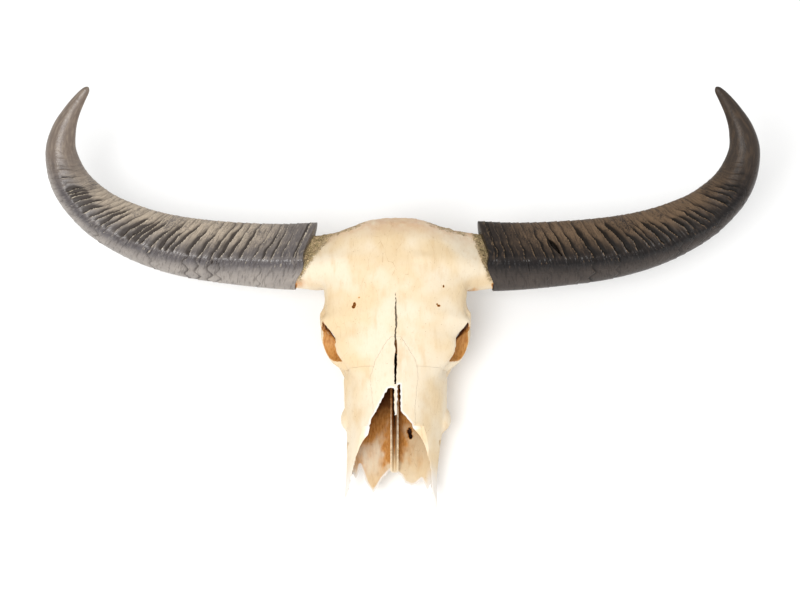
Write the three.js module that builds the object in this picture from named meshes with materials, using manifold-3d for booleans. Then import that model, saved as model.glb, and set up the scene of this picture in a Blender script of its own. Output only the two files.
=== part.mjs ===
// A water buffalo skull with its two horn sheaths, life size, lying on its cheek teeth.
// Millimetres: +X is the viewer's right, +Y runs from muzzle to poll, +Z is up.
// Left and right in the names are the viewer's, looking down on the face with the poll at the top.

import * as THREE from 'three';
import { mergeVertices } from 'three/addons/utils/BufferGeometryUtils.js';
import Module from 'manifold-3d';

// Landmarks along the skull, as Y
const CONDYLES = 186;
const OCCIPUT = 184;
const HORN_BACK = 140;
const HORN_FRONT = 60;
const BROW_CORNER = 6;
const ORBIT = -20;
const ORBIT_FRONT = -48;
const NASAL_ROOT = -31;
const TUBER = -112;
const MUZZLE = -254;

// Sizes
const FACE_TILT = THREE.MathUtils.degToRad(25); // the face slopes down to the muzzle by this much
const PALATE_HEIGHT = 34;
const NASAL_FLOOR = 44;
const SNOUT_WALL = 9;
const TOOTH_ROW = { back: 2, length: 150, front: 47, rear: 60 };
const ORBIT_RADII = [54, 29, 25];
const SHEATH_SEAT = 24; // how far each bone core goes into its sheath
const GAP = 0.35; // between pieces that touch

// The two horns differ: where the root lies, the slant of its rim, how far it spreads, how thick it is
const HORNS = [
  { side: -1, name: 'left', root: 119, slant: 34, spread: 1, girth: 0.985 },
  { side: 1, name: 'right', root: 125, slant: 24, spread: 1.04, girth: 1.025 },
];

// Fineness of the faceting
const SKULL_SPAN_STEPS = 3;
const SKULL_STATIONS = 36;
const HORN_SPAN_STEPS = 2;
const KNOB_SIDES = 10;

const wasm = await Module();
wasm.setup();

/** Turns a closed geometry into a solid that can be joined and cut. */
function solid(geometry) {
  const bare = geometry.clone();
  bare.deleteAttribute('normal');
  bare.deleteAttribute('uv');
  const merged = mergeVertices(bare, 1e-3);
  return new wasm.Manifold(new wasm.Mesh({
    numProp: 3,
    vertProperties: merged.attributes.position.array,
    triVerts: new Uint32Array(merged.index.array),
  }));
}

/** Turns a solid back into a geometry. */
function geometryOf(shape) {
  const mesh = shape.getMesh();
  const geometry = new THREE.BufferGeometry();
  geometry.setAttribute('position', new THREE.BufferAttribute(mesh.vertProperties, 3));
  geometry.setIndex(new THREE.BufferAttribute(mesh.triVerts, 1));
  return geometry;
}

const join = (...shapes) => shapes.reduce((all, shape) => all.add(shape));
const cut = (shape, ...tools) => tools.reduce((left, tool) => left.subtract(tool), shape);
const mirrored = (make) => [-1, 1].map(make);

/** The largest closed body of a shape. */
function largest(shape) {
  return shape.decompose().sort((a, b) => b.volume() - a.volume())[0];
}

/** A smooth function through [place, value] pairs, in rising order, that doesn't overshoot them. */
function through(...pairs) {
  const place = pairs.map((pair) => pair[0]);
  const value = pairs.map((pair) => pair[1]);
  const slope = value.slice(1).map((v, i) => (v - value[i]) / (place[i + 1] - place[i]));
  const tangent = value.map((_, i) => {
    const before = slope[i - 1] ?? slope[i];
    const after = slope[i] ?? slope[i - 1];
    return before * after > 0 ? (2 * before * after) / (before + after) : 0;
  });
  return (at) => {
    const next = place.findIndex((p) => p > at);
    const i = next < 0 ? place.length - 2 : Math.max(next - 1, 0);
    const width = place[i + 1] - place[i];
    const t = THREE.MathUtils.clamp((at - place[i]) / width, 0, 1);
    const rise = (1 - t) * (1 - t) * t * tangent[i] - t * t * (1 - t) * tangent[i + 1];
    return THREE.MathUtils.lerp(value[i], value[i + 1], t * t * (3 - 2 * t)) + rise * width;
  };
}

/** Skins a row of rings, each a loop of as many points, and closes both ends. */
function loft(rings) {
  const count = rings[0].length;
  const points = rings.flat();
  const faces = [];
  for (let r = 0; r + 1 < rings.length; r += 1) {
    for (let i = 0; i < count; i += 1) {
      const a = r * count + i;
      const b = r * count + ((i + 1) % count);
      faces.push(a, b, b + count, a, b + count, a + count);
    }
  }
  for (const [ring, first, turned] of [[rings[0], 0, true], [rings.at(-1), points.length - count, false]]) {
    const middle = ring.reduce((sum, p) => sum.add(p), new THREE.Vector3()).divideScalar(count);
    points.push(middle);
    for (let i = 0; i < count; i += 1) {
      const edge = [first + i, first + ((i + 1) % count)];
      faces.push(...(turned ? edge.reverse() : edge), points.length - 1);
    }
  }
  const geometry = new THREE.BufferGeometry().setFromPoints(points).setIndex(faces);
  return facingOut(geometry);
}

/** Turns the faces of a closed geometry outwards. */
function facingOut(geometry) {
  const [a, b, c] = [0, 1, 2].map(() => new THREE.Vector3());
  const { position } = geometry.attributes;
  const index = geometry.index.array;
  let volume = 0;
  for (let i = 0; i < index.length; i += 3) {
    [a, b, c].forEach((corner, k) => corner.fromBufferAttribute(position, index[i + k]));
    volume += a.dot(b.cross(c));
  }
  if (volume < 0) {
    index.reverse();
  }
  return geometry;
}

// The snout leans a little to the left, towards its broken end
const lean = through([MUZZLE, -8], [-190, -5], [-150, -2.5], [-100, 0], [0, 0]);

/** Sets a form down along the slightly bent midline of the skull, as a solid. */
function alongMidline(geometry) {
  const { position } = geometry.attributes;
  for (let i = 0; i < position.count; i += 1) {
    position.setX(i, position.getX(i) + lean(position.getY(i)));
  }
  return solid(geometry);
}

/** A smooth closed loop through corner points, with the same few steps from each to the next. */
function loop(corners, steps) {
  const curve = new THREE.CatmullRomCurve3(corners, true, 'centripetal');
  const count = corners.length * steps;
  return Array.from({ length: count }, (_, i) => curve.getPoint(i / count));
}

/** An oval bar along a smooth path; each stop is [x, y, z, half width, half height]. */
function bar(stops, steps, sides, up = new THREE.Vector3(0, 0, 1)) {
  const path = new THREE.CatmullRomCurve3(stops.map(([x, y, z]) => new THREE.Vector3(x, y, z)));
  const sizes = new THREE.CatmullRomCurve3(stops.map(([, , , w, h]) => new THREE.Vector3(w, h, 0)));
  const rings = Array.from({ length: steps + 1 }, (_, i) => {
    const t = i / steps;
    const along = path.getTangent(t);
    const across = new THREE.Vector3().crossVectors(along, up).normalize();
    const over = new THREE.Vector3().crossVectors(across, along);
    const size = sizes.getPoint(t);
    return Array.from({ length: sides }, (__, k) => {
      const angle = (2 * Math.PI * k) / sides;
      return path.getPoint(t)
        .addScaledVector(across, size.x * Math.cos(angle))
        .addScaledVector(over, size.y * Math.sin(angle));
    });
  });
  return alongMidline(loft(rings));
}

/** An egg-shaped solid with the given centre, radii and turn. */
function egg(centre, radii, turn = [0, 0, 0], fineness = KNOB_SIDES) {
  const shape = new THREE.SphereGeometry(1, fineness, Math.round(fineness * 0.6));
  shape.scale(...radii);
  shape.applyMatrix4(new THREE.Matrix4().makeRotationFromEuler(new THREE.Euler(...turn)));
  shape.translate(...centre);
  return alongMidline(shape);
}

/** A prism with the outline given as [a, b] points, set up by a basis of three directions. */
function prism(outline, from, to, [first, second, third]) {
  const shape = new THREE.Shape(outline.map(([a, b]) => new THREE.Vector2(a, b)));
  const geometry = new THREE.ExtrudeGeometry(shape, { depth: to - from, bevelEnabled: false });
  geometry.translate(0, 0, from);
  geometry.applyMatrix4(new THREE.Matrix4().makeBasis(first, second, third));
  return solid(geometry);
}

// Directions: across the skull, up the face towards the poll, and out of the face
const ACROSS = new THREE.Vector3(1, 0, 0);
const UP_FACE = new THREE.Vector3(0, Math.cos(FACE_TILT), Math.sin(FACE_TILT));
const OUT_OF_FACE = new THREE.Vector3(0, -Math.sin(FACE_TILT), Math.cos(FACE_TILT));
const FACE = [ACROSS, UP_FACE, OUT_OF_FACE];
const PROFILE = [new THREE.Vector3(0, 1, 0), new THREE.Vector3(0, 0, 1), ACROSS];

// Rails of the skull from muzzle to occiput: the lines that its cross-section passes through
const crown = through(
  [MUZZLE, 112], [-150, 138], [-100, 154], [-70, 162], [ORBIT_FRONT, 168], [-10, 180],
  [20, 191], [50, 202], [80, 210], [110, 212], [HORN_BACK, 203], [160, 185],
  [172, 160], [180, 132], [OCCIPUT, 116],
);
const brow = {
  x: through(
    [MUZZLE, 62], [-190, 53], [-150, 48], [TUBER, 50], [-85, 56], [-65, 67], [ORBIT_FRONT, 81.5], [-38, 88],
    [-27, 90], [ORBIT, 90], [-6, 99], [BROW_CORNER, 110], [22, 104], [40, 104],
    [HORN_FRONT, 107], [85, 109], [110, 106], [HORN_BACK, 91], [160, 58], [172, 47], [180, 36], [OCCIPUT, 26],
  ),
  z: through(
    [MUZZLE, 48], [-190, 82], [-150, 112], [TUBER, 125], [-85, 134], [-65, 135], [ORBIT_FRONT, 137],
    [ORBIT, 147], [BROW_CORNER, 148], [25, 153], [HORN_FRONT, 164], [85, 171], [110, 175],
    [HORN_BACK, 174], [160, 163], [172, 143], [180, 124], [OCCIPUT, 110],
  ),
};
const waist = {
  x: through(
    [MUZZLE, 66], [-190, 64], [-150, 62], [TUBER, 68], [-75, 72], [-55, 72], [ORBIT, 60], [10, 48], [35, 44],
    [HORN_FRONT, 54], [90, 68], [110, 82], [HORN_BACK, 86], [160, 79], [172, 64], [180, 50], [OCCIPUT, 36],
  ),
  z: through(
    [MUZZLE, 45], [-190, 62], [-150, 84], [TUBER, 95], [-55, 110], [10, 114], [35, 118],
    [90, 124], [110, 132], [HORN_BACK, 136], [160, 132], [172, 114], [180, 102], [OCCIPUT, 94],
  ),
};
const flank = {
  x: through(
    [MUZZLE, 70], [-190, 68], [-150, 70], [TUBER, 74], [-85, 74], [-53, 75], [-33, 86], [ORBIT, 92],
    [0, 90], [14, 78], [28, 58], [42, 46], [HORN_FRONT, 50], [80, 72], [100, 85], [HORN_BACK, 90], [160, 87],
    [172, 78], [180, 62], [OCCIPUT, 42],
  ),
  z: through(
    [MUZZLE, 42], [-190, 48], [-150, 56], [TUBER, 66], [-53, 92], [ORBIT, 90], [20, 70], [HORN_FRONT, 80],
    [110, 87], [160, 92], [172, 89], [180, 82], [OCCIPUT, 76],
  ),
};
const sill = {
  x: through(
    [MUZZLE, 62], [-190, 57], [-150, 55], [TUBER, 61], [-50, 67], [-5, 70], [12, 62], [30, 30],
    [HORN_FRONT, 26], [80, 36], [110, 52], [HORN_BACK, 56], [172, 50], [OCCIPUT, 34],
  ),
  z: through(
    [MUZZLE, 38], [-190, 33], [-160, 25], [-5, 23], [14, 30], [35, 50], [HORN_FRONT, 55], [110, 56],
    [172, 62], [OCCIPUT, 66],
  ),
};
const keel = through(
  [MUZZLE, 38], [-190, 36], [-150, PALATE_HEIGHT], [-5, PALATE_HEIGHT], [14, 42], [35, 58],
  [HORN_FRONT, 56], [110, 49], [150, 46], [172, 50], [OCCIPUT, 60],
);

/** The corners of the skull's cross-section at a place along it, with the loop closed round both sides. */
function skullSection(y) {
  const right = [
    [sill.x(y), sill.z(y)],
    [flank.x(y), flank.z(y)],
    [waist.x(y), waist.z(y)],
    [brow.x(y), brow.z(y)],
    [0.6 * brow.x(y), THREE.MathUtils.lerp(crown(y), brow.z(y), 0.2)],
  ];
  const left = right.map(([x, z]) => [-x, z]).reverse();
  return [[0, keel(y)], ...right, [0, crown(y)], ...left].map(([x, z]) => new THREE.Vector3(x, y, z));
}

/** The braincase, face and upper jaw as one closed form, before anything is added or opened. */
function skullForm() {
  const rings = Array.from({ length: SKULL_STATIONS }, (_, i) => {
    const t = i / (SKULL_STATIONS - 1);
    const y = THREE.MathUtils.lerp(MUZZLE, OCCIPUT, t + 0.02 * Math.sin(2 * Math.PI * t));
    return loop(skullSection(y), SKULL_SPAN_STEPS);
  });
  return alongMidline(loft(rings));
}

// The horns run in the plane of the face; each stop is [reach beyond the root, up the face, out of the face]
const HORN_STOPS = [
  [0, 167, 90], [56, 167, 84], [117, 171, 76], [180, 178, 69], [242, 191.5, 63], [289, 209, 60],
  [337, 236.5, 58], [376, 278, 60], [391, 325, 66], [386, 357, 72], [374, 383, 79],
  [359.5, 404.5, 86], [345, 422, 92],
];
const HORN_GIRTH = through(
  [0, 51.8], [0.08, 50.2], [0.19, 48.5], [0.3, 47], [0.42, 43.8], [0.51, 40.4], [0.61, 35.6], [0.71, 30.6],
  [0.8, 24.2], [0.86, 19], [0.91, 13.6], [0.957, 9.4], [0.985, 6.4], [1, 3.5],
);
// The rings run further out at the front edge of the horn, less so towards the tip
const SLANT_FADE = through([0, 1], [0.55, 0.8], [0.8, 0.2], [1, 0]);

// Horn cross-sections as [towards the inner edge, out of the face], in half girths
const ROOT_SECTION = [
  [1, -0.12], [0.42, 0.38], [-0.2, 0.7], [-0.68, 0.36],
  [-1, -0.14], [-0.62, -0.56], [0.05, -0.7], [0.68, -0.54],
];
const BEND_SECTION = [
  [1, -0.08], [0.38, 0.6], [-0.6, 0.6], [-0.92, 0.24],
  [-0.98, -0.14], [-0.6, -0.6], [0.05, -0.74], [0.7, -0.56],
];
const TIP_SECTION = [
  [1, 0], [0.6, 0.6], [-0.3, 0.78], [-0.86, 0.4],
  [-0.97, -0.2], [-0.6, -0.62], [0.05, -0.8], [0.7, -0.6],
];
const BEND_PLACE = 0.6;

// Growth rings of the sheath: spacing and depth of the grooves along it, and how deep they are round it
const RING_SPACING = through([0, 18.5], [0.3, 16], [0.72, 13.5]);
const RING_DEPTH = through([0, 1.6], [0.12, 2.4], [0.3, 4.2], [0.55, 4], [0.72, 1.2]);
const RINGS_FROM = 0.02;
const RINGS_TO = 0.72;
const RING_WEIGHTS = [0.8, 1, 0.35, 0.35, 0.3, 0.3, 0.4, 0.6]; // at the eight corners of the section

/** The centre line of one horn and its length, in the directions of the face. */
function hornLine(horn) {
  const path = new THREE.CatmullRomCurve3(HORN_STOPS.map(
    ([reach, up, out]) => new THREE.Vector3(horn.root + reach * horn.spread, up, out),
  ));
  return { ...horn, path, length: path.getLength() };
}

/** The horn's section at a share of its length, as [inner, out] corners in half girths. */
function hornSection(share) {
  const late = share > BEND_PLACE;
  const [from, to] = late ? [BEND_SECTION, TIP_SECTION] : [ROOT_SECTION, BEND_SECTION];
  const t = late ? (share - BEND_PLACE) / (1 - BEND_PLACE) : share / BEND_PLACE;
  return from.map((corner, i) => corner.map((value, k) => THREE.MathUtils.lerp(value, to[i][k], t)));
}

/** A point in the directions of the face, for a horn on one side of the skull. */
function onFace(side, p) {
  return new THREE.Vector3()
    .addScaledVector(ACROSS, side * p.x)
    .addScaledVector(UP_FACE, p.y)
    .addScaledVector(OUT_OF_FACE, p.z);
}

/**
 * One slanted ring of a horn. Scale sizes it, swell thickens it out of the face,
 * drop moves it to the outer edge and dip presses it in.
 */
function hornRing(line, share, { scale = 1, swell = 1, drop = 0, dip = 0 } = {}) {
  const { path, length, side } = line;
  const girth = HORN_GIRTH(share) * line.girth * scale;
  const corners = hornSection(Math.max(share, 0)).map(([a, b], i) => {
    const press = dip * RING_WEIGHTS[i];
    return new THREE.Vector3(a * (girth - press) - drop, b * swell * (girth - press), 0);
  });
  return loop(corners, HORN_SPAN_STEPS).map(({ x: inner, y: out }) => {
    const slant = (line.slant * SLANT_FADE(share) * (1 - inner / girth)) / 2;
    const at = share + slant / length;
    const place = THREE.MathUtils.clamp(at, 0, 1);
    const along = path.getTangentAt(place);
    const inwards = new THREE.Vector3(0, 0, 1).cross(along).normalize();
    const outwards = new THREE.Vector3().crossVectors(along, inwards);
    return onFace(side, path.getPointAt(place)
      .addScaledVector(along, (at - place) * length)
      .addScaledVector(inwards, inner)
      .addScaledVector(outwards, out));
  });
}

/** Where the sheath's rings lie, as [share of the length, how deep it is pressed in]. */
function ringPlaces(length) {
  const places = [[0, 0.8]];
  for (let share = RINGS_FROM; share < RINGS_TO; share += RING_SPACING(share) / length) {
    const step = RING_SPACING(share) / length;
    const depth = RING_DEPTH(share);
    places.push([share, depth], [share + 0.25 * step, 0.25 * depth], [share + 0.72 * step, 0]);
  }
  for (let share = RINGS_TO + 0.01; share < 0.98; share += 0.03) {
    places.push([share, 0]);
  }
  return [...places, [0.985, 0], [1, 0]];
}

const CORE = { scale: 0.8, drop: 8 };

/** A horn-shaped solid skinned over rings, each given as a share of the length and its sizes. */
function hornSolid(line, places) {
  return solid(loft(places.map(([share, sizes]) => hornRing(line, share, sizes))));
}

/** The seat at the root of a sheath that its bone core fits. */
const sheathSeat = (line) => hornSolid(
  line,
  [-0.1, -0.04, SHEATH_SEAT / line.length].map((share) => [share, CORE]),
);

/** The keratin sheath of one horn, with a seat at its root for the bone core. */
function sheath(line) {
  const whole = hornSolid(line, ringPlaces(line.length).map(([share, dip]) => [share, { dip }]));
  return cut(whole, sheathSeat(line));
}

/** The space that a sheath's root takes, a gap larger all round, to clear the bone beside it. */
function sheathSpace(line) {
  const scale = 1 + (1.5 * GAP) / HORN_GIRTH(0);
  const whole = hornSolid(line, [-GAP / line.length, 0.06, 0.12].map((share) => [share, { scale }]));
  return cut(whole, sheathSeat(line));
}

/** The bone core that grows from the frontal bone into the sheath. */
function hornCore(line) {
  const shrink = CORE.scale - GAP / HORN_GIRTH(0);
  return hornSolid(line, [
    [-0.2, { scale: 1.02, swell: 1.5 }], [-0.15, { scale: 0.97, swell: 1.42, drop: 2 }],
    [-0.11, { scale: 0.9, swell: 1.34, drop: 5 }], [-0.075, { scale: 0.855, swell: 1.22, drop: 7 }],
    [-0.045, { scale: 0.82, swell: 1.08, drop: 8 }], [-0.015, { scale: shrink, drop: 8 }],
    [0.02, { scale: shrink, drop: 8 }], [(SHEATH_SEAT - 2 * GAP) / line.length, { scale: shrink, drop: 8 }],
  ]);
}

/** The bar below the orbit and back to the ear, and the post behind the orbit. */
function cheekArch(side) {
  const rim = [
    [58, -64, 112, 13, 20], [68, -47, 101, 14, 19], [81, -27, 94, 15, 15], [94, -8, 92, 13, 12],
    [102, 10, 93, 9, 12], [102, 32, 92, 6, 10], [95, 54, 89, 6, 9], [85, 74, 87, 9, 9], [74, 90, 87, 12, 9],
  ];
  const post = [[103, 13, 92, 5, 9], [106, 12, 108, 4.5, 8], [106.5, 10, 124, 4.5, 8], [103, 6, 144, 6, 10]];
  const place = ([x, ...rest]) => [side * x, ...rest];
  return join(bar(rim.map(place), 14, 9), bar(post.map(place), 6, 8, new THREE.Vector3(1, 0, 0)));
}

/** Half the back of the skull: condyle, drooping process, ear bulb and ear passage. */
function skullBase(side) {
  const process = [
    [side * 60, 156, 92, 12, 18], [side * 59, 161, 58, 9, 17],
    [side * 55, 163, 28, 6, 12], [side * 50, 160, -3, 4, 7],
  ];
  return join(
    egg([side * 27, CONDYLES - 4, 57], [19, 22, 25], [0.35, 0, side * 0.5], 12),
    bar(process, 5, 9, new THREE.Vector3(0, 1, 0)),
    egg([side * 40, 112, 50], [13, 20, 16], [0, side * 0.3, 0]),
    egg([side * 13, 142, 46], [9, 18, 8]),
    bar([[side * 66, 114, 80, 12, 11], [side * 84, 119, 82, 9, 9], [side * 91, 120, 82, 7.5, 7.5]], 3, 10),
  );
}

/** The thin plate beside the inner nostrils, ending in a hook. */
function pterygoid(side) {
  const outline = [[-12, 36], [14, 30], [34, 26], [46, 34], [44, 44], [58, 58], [60, 74], [0, 74]];
  return prism(outline, side > 0 ? 19 : -24, side > 0 ? 24 : -19, PROFILE);
}

/** One cheek tooth: a two-lobed column with a flat wear face on the floor. */
function tooth(x, y, length, width) {
  const lobes = [];
  const steps = 12;
  for (let i = 0; i < steps; i += 1) {
    const angle = (2 * Math.PI * i) / steps;
    const pinch = 1 - 0.16 * Math.cos(angle) ** 4;
    lobes.push([0.5 * width * Math.cos(angle) * pinch, 0.49 * length * Math.sign(Math.sin(angle))
      * Math.abs(Math.sin(angle)) ** 0.7]);
  }
  const ring = (height, swell) => lobes.map(([a, b]) => new THREE.Vector3(x + a * swell, y + b, height));
  return solid(loft([ring(0, 0.9), ring(12, 1), ring(PALATE_HEIGHT + 2, 0.95)]));
}

/** One row of cheek teeth, from the large back molar to the small front premolar. */
function toothRow(side) {
  const shares = [0.215, 0.205, 0.18, 0.14, 0.135, 0.125];
  const row = [];
  let y = TOOTH_ROW.back;
  for (const share of shares) {
    const length = share * TOOTH_ROW.length;
    const middle = y - length / 2;
    const t = (TOOTH_ROW.back - middle) / TOOTH_ROW.length;
    const bow = 3 * Math.sin(Math.PI * t);
    const x = THREE.MathUtils.lerp(TOOTH_ROW.rear, TOOTH_ROW.front, t) + bow - 1;
    row.push(tooth(side * x, middle, length, THREE.MathUtils.lerp(25, 17, t)));
    y -= length;
  }
  return join(...row);
}

/** The corners of the nasal passage's cross-section at a place along the skull. */
function passageSection(y) {
  const reach = through([-260, 80], [TUBER, 64], [-85, 48], [-60, 35], [NASAL_ROOT, 27], [15, 21])(y);
  const roof = through(
    [-260, 110], [-150, 127], [TUBER, 141], [-85, 149], [-60, 150], [NASAL_ROOT, 138], [15, 96],
  )(y);
  const inside = (x) => Math.min(x - SNOUT_WALL, reach);
  const right = [
    [inside(sill.x(y)), NASAL_FLOOR + 1],
    [inside(flank.x(y)), NASAL_FLOOR + 10],
    [inside(waist.x(y)), THREE.MathUtils.lerp(NASAL_FLOOR, roof, 0.42)],
    [inside(brow.x(y)), THREE.MathUtils.lerp(NASAL_FLOOR, roof, 0.76)],
  ];
  const left = right.map(([x, z]) => [-x, z]).reverse();
  return [[0, NASAL_FLOOR], ...right, [0, roof], ...left].map(([x, z]) => new THREE.Vector3(x, y, z));
}

/** The nasal passage, from beyond the muzzle to the inner nostrils behind the palate. */
function nasalPassage() {
  const stations = [-260, -226, -190, -165, -140, TUBER, -85, -60, NASAL_ROOT, -8, 15];
  const passage = alongMidline(loft(stations.map((y) => loop(passageSection(y), 2))));
  const drop = [[0, -40, 64, 18, 17], [0, 10, 60, 17, 17], [0, 44, 44, 16, 16], [0, 70, 20, 16, 16]];
  const innerNostrils = bar(drop, 5, 10);
  return join(passage, innerNostrils);
}

/** The trough-shaped bone that stands on the palate along the midline. */
function vomer() {
  const top = through([-194, 52], [-180, 60], [-150, 68], [-60, 76], [-6, 78]);
  const foot = NASAL_FLOOR + GAP;
  const middle = -1.5;
  const rings = [-194, -180, -160, -135, -100, -60, -6].map((y) => [
    [-6, top(y)], [-4, top(y)], [-0.8, foot + 5], [0.8, foot + 5],
    [4, top(y)], [6, top(y)], [3, foot], [-3, foot],
  ].map(([x, z]) => new THREE.Vector3(middle + x, y, z)));
  return solid(loft(rings));
}

/** The broken edges at the front, as prisms cut straight out of the face and across the snout. */
function muzzleBreaks() {
  const nostrils = [
    [-2, -28], [-6.4, -27], [-10.8, -28], [-16.6, -38], [-25.4, -56], [-31, -66], [-36, -75], [-42, -104],
    [-47, -118], [-47, -290], [40, -290], [40, -122], [36, -114], [29, -104],
    [24.3, -80], [20, -74.6], [15.5, -68.7], [9.7, -63], [7.8, -60],
    [7.2, -22], [3.4, -23], [2.2, -66], [-1, -67],
  ];
  const palateEdge = [
    [-77, -290], [-77, -196], [-72, -190], [-66, -160], [-63, -158], [-59, -165], [-56, -160], [-53, -146],
    [-49, -156], [-43, -172], [-33.5, -186], [-26, -176], [-20, -166], [-12.5, -158], [-7, -153], [4, -158],
    [9, -162], [14, -171], [24, -175.5], [30.5, -173.5], [39, -166], [48, -181], [52.5, -172], [58, -205],
    [60.5, -209], [60.5, -290],
  ];
  const rostralSlope = [[-148, 118], [-172, 92], [-236, 48], [-262, 38], [-262, 190], [-148, 190]];
  return join(
    prism(nostrils, 128, 280, FACE),
    prism(palateEdge, 20, 200, FACE),
    prism(rostralSlope, -110, 110, PROFILE),
  );
}

/** The two eye sockets and the holes and notches of the forehead and face. */
function openings() {
  const pairs = mirrored((side) => join(
    egg([side * 104, ORBIT, 119], ORBIT_RADII, [0, side * 0.12, side * -0.16], 18),
    bar([[side * 60, 22, 188, 3, 4], [side * 67, 12, 166, 3, 4]], 2, 8, new THREE.Vector3(1, 0, 0)),
    bar([[side * 86, -168, 58, 4, 6], [side * 64, -152, 64, 4, 6]], 2, 8),
    bar([[side * 100, 121, 82, 4, 4], [side * 80, 118, 82, 4, 4]], 2, 8),
  ));
  const spine = bar([[0, 128, 74, 17, 15], [0, 165, 72, 18, 16], [0, 220, 72, 21, 18]], 4, 14);
  const seam = prism([[-0.4, 112], [1.2, 96], [1.8, 60], [1.8, 40], [0.4, 40], [-0.8, 60]], 164, 240, FACE);
  return join(...pairs, spine, seam);
}

/** The nasal bones as seen on the face, from their pointed roots to their broken ends. */
function nasalZone(side) {
  const outline = side < 0
    ? [[1, 47], [-6, 47], [-13, 40], [-20, 28], [-29, 13], [-33, 0], [-37, -12], [-33, -50],
      [-30, -110], [1, -110]]
    : [[1.2, -110], [29, -110], [29, -50], [33, -12], [32, 0], [29, 13], [20, 28], [13, 40],
      [7, 47], [1.2, 47]];
  const thickness = 17;
  const under = [0, NASAL_ROOT, -100, -170].map((y) => [y, crown(y) - thickness]);
  const slab = prism([...under, [-170, 260], [0, 260]], -60, 60, PROFILE);
  return prism(outline, 100, 260, FACE).intersect(slab);
}

/** The cheekbone below and behind the orbit, as seen on the face. */
function cheekZone(side) {
  const outline = [[75, -14], [82, 18], [90, 46], [92, 73], [132, 73], [132, -14]];
  const place = outline.map(([x, up]) => [side * x, up]);
  const above = [[-70, 92], [-45, 80], [-15, 76], [50, 76], [50, 150], [-70, 150]];
  return prism(side > 0 ? place.reverse() : place, 30, 110, FACE).intersect(prism(above, -140, 140, PROFILE));
}

/** The part of a shape inside a zone, kept clear of the zone's borders. */
function pick(shape, zone) {
  const steps = [[GAP, 0, 0], [-GAP, 0, 0], [0, GAP, 0], [0, -GAP, 0], [0, 0, GAP], [0, 0, -GAP]];
  return largest(steps.reduce((all, step) => all.intersect(zone.translate(step)), shape));
}

/** A thin wavy sheet across the skull that parts the upper jaw from the rest, along the suture. */
function jawSuture() {
  const line = [
    [-76, 200], [-72, 165], [-64, 140], [-60, 116], [-52, 100], [-30, 82], [-12, 66], [4, 58],
    [20, 52], [70, 48],
  ];
  return prism([...line, ...line.map(([y, z]) => [y - GAP, z - GAP]).reverse()], -140, 140, PROFILE);
}

const horns = HORNS.map(hornLine);
const form = join(
  skullForm(),
  ...horns.map(hornCore),
  ...mirrored(cheekArch),
  ...mirrored(skullBase),
  egg([0, 172, 128], [20, 11, 14], [-0.5, 0, 0]),
  ...mirrored(pterygoid),
  ...mirrored((side) => egg([side * 63, TUBER - 4, 62], [19.5, 21, 19], [0, 0, side * 0.1], 12)),
  ...mirrored(toothRow),
);
const floorCut = prism([[-300, -40], [300, -40], [300, 0], [-300, 0]], -200, 200, PROFILE);
const opened = cut(form, nasalPassage(), muzzleBreaks(), openings(), floorCut);

const nasalZones = mirrored(nasalZone);
const cheekZones = mirrored(cheekZone);
const bySize = (a, b) => b.volume() - a.volume();
const [behind, ahead] = cut(opened, ...nasalZones, ...cheekZones, jawSuture()).decompose().sort(bySize);
const midCut = prism([[-300, 0], [60, 0], [60, 300], [-300, 300]], -GAP / 2, GAP / 2, PROFILE);
const jaws = cut(ahead, midCut).decompose().sort(bySize).slice(0, 2);
jaws.sort((a, b) => a.boundingBox().min[0] - b.boundingBox().min[0]);
const pieces = {
  cranium: largest(cut(behind, ...horns.map(sheathSpace))),
  maxilla_left: jaws[0],
  maxilla_right: jaws[1],
  nasal_left: pick(opened, nasalZones[0]),
  nasal_right: pick(opened, nasalZones[1]),
  zygomatic_left: pick(opened, cheekZones[0]),
  zygomatic_right: pick(opened, cheekZones[1]),
  vomer: vomer(),
  horn_sheath_left: sheath(horns[0]),
  horn_sheath_right: sheath(horns[1]),
};

const BONE = { color: 0xe8d2a6, roughness: 0.75, metalness: 0 };
const HORN = { color: 0x3b342e, roughness: 0.45, metalness: 0 };
const skull = new THREE.Group();
for (const [name, piece] of Object.entries(pieces)) {
  const finish = name.startsWith('horn_sheath') ? HORN : BONE;
  const mesh = new THREE.Mesh(geometryOf(piece), new THREE.MeshStandardMaterial(finish));
  mesh.name = name;
  skull.add(mesh);
}

// The origin lies on the floor, below the middle of the whole
const middle = new THREE.Box3().setFromObject(skull).getCenter(new THREE.Vector3());
for (const mesh of skull.children) {
  mesh.geometry.translate(-middle.x, -middle.y, 0);
}

export default skull;
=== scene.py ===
"""A water buffalo skull with its two horn sheaths, lying on its cheek teeth and seen face on.

The shapes are worked out in millimetres in the skull's own directions: +X to the viewer's right,
+Y from the muzzle to the poll and +Z up from the floor. A finished piece is set into the shared
frame in metres. Left and right are the viewer's.
"""

import logging
import math
from collections.abc import Callable, Sequence
from dataclasses import dataclass
from enum import Enum

import bmesh
import bpy
import numpy as np
from mathutils import Euler, Matrix, Vector, noise
from mathutils.bvhtree import BVHTree
from mathutils.kdtree import KDTree


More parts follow.
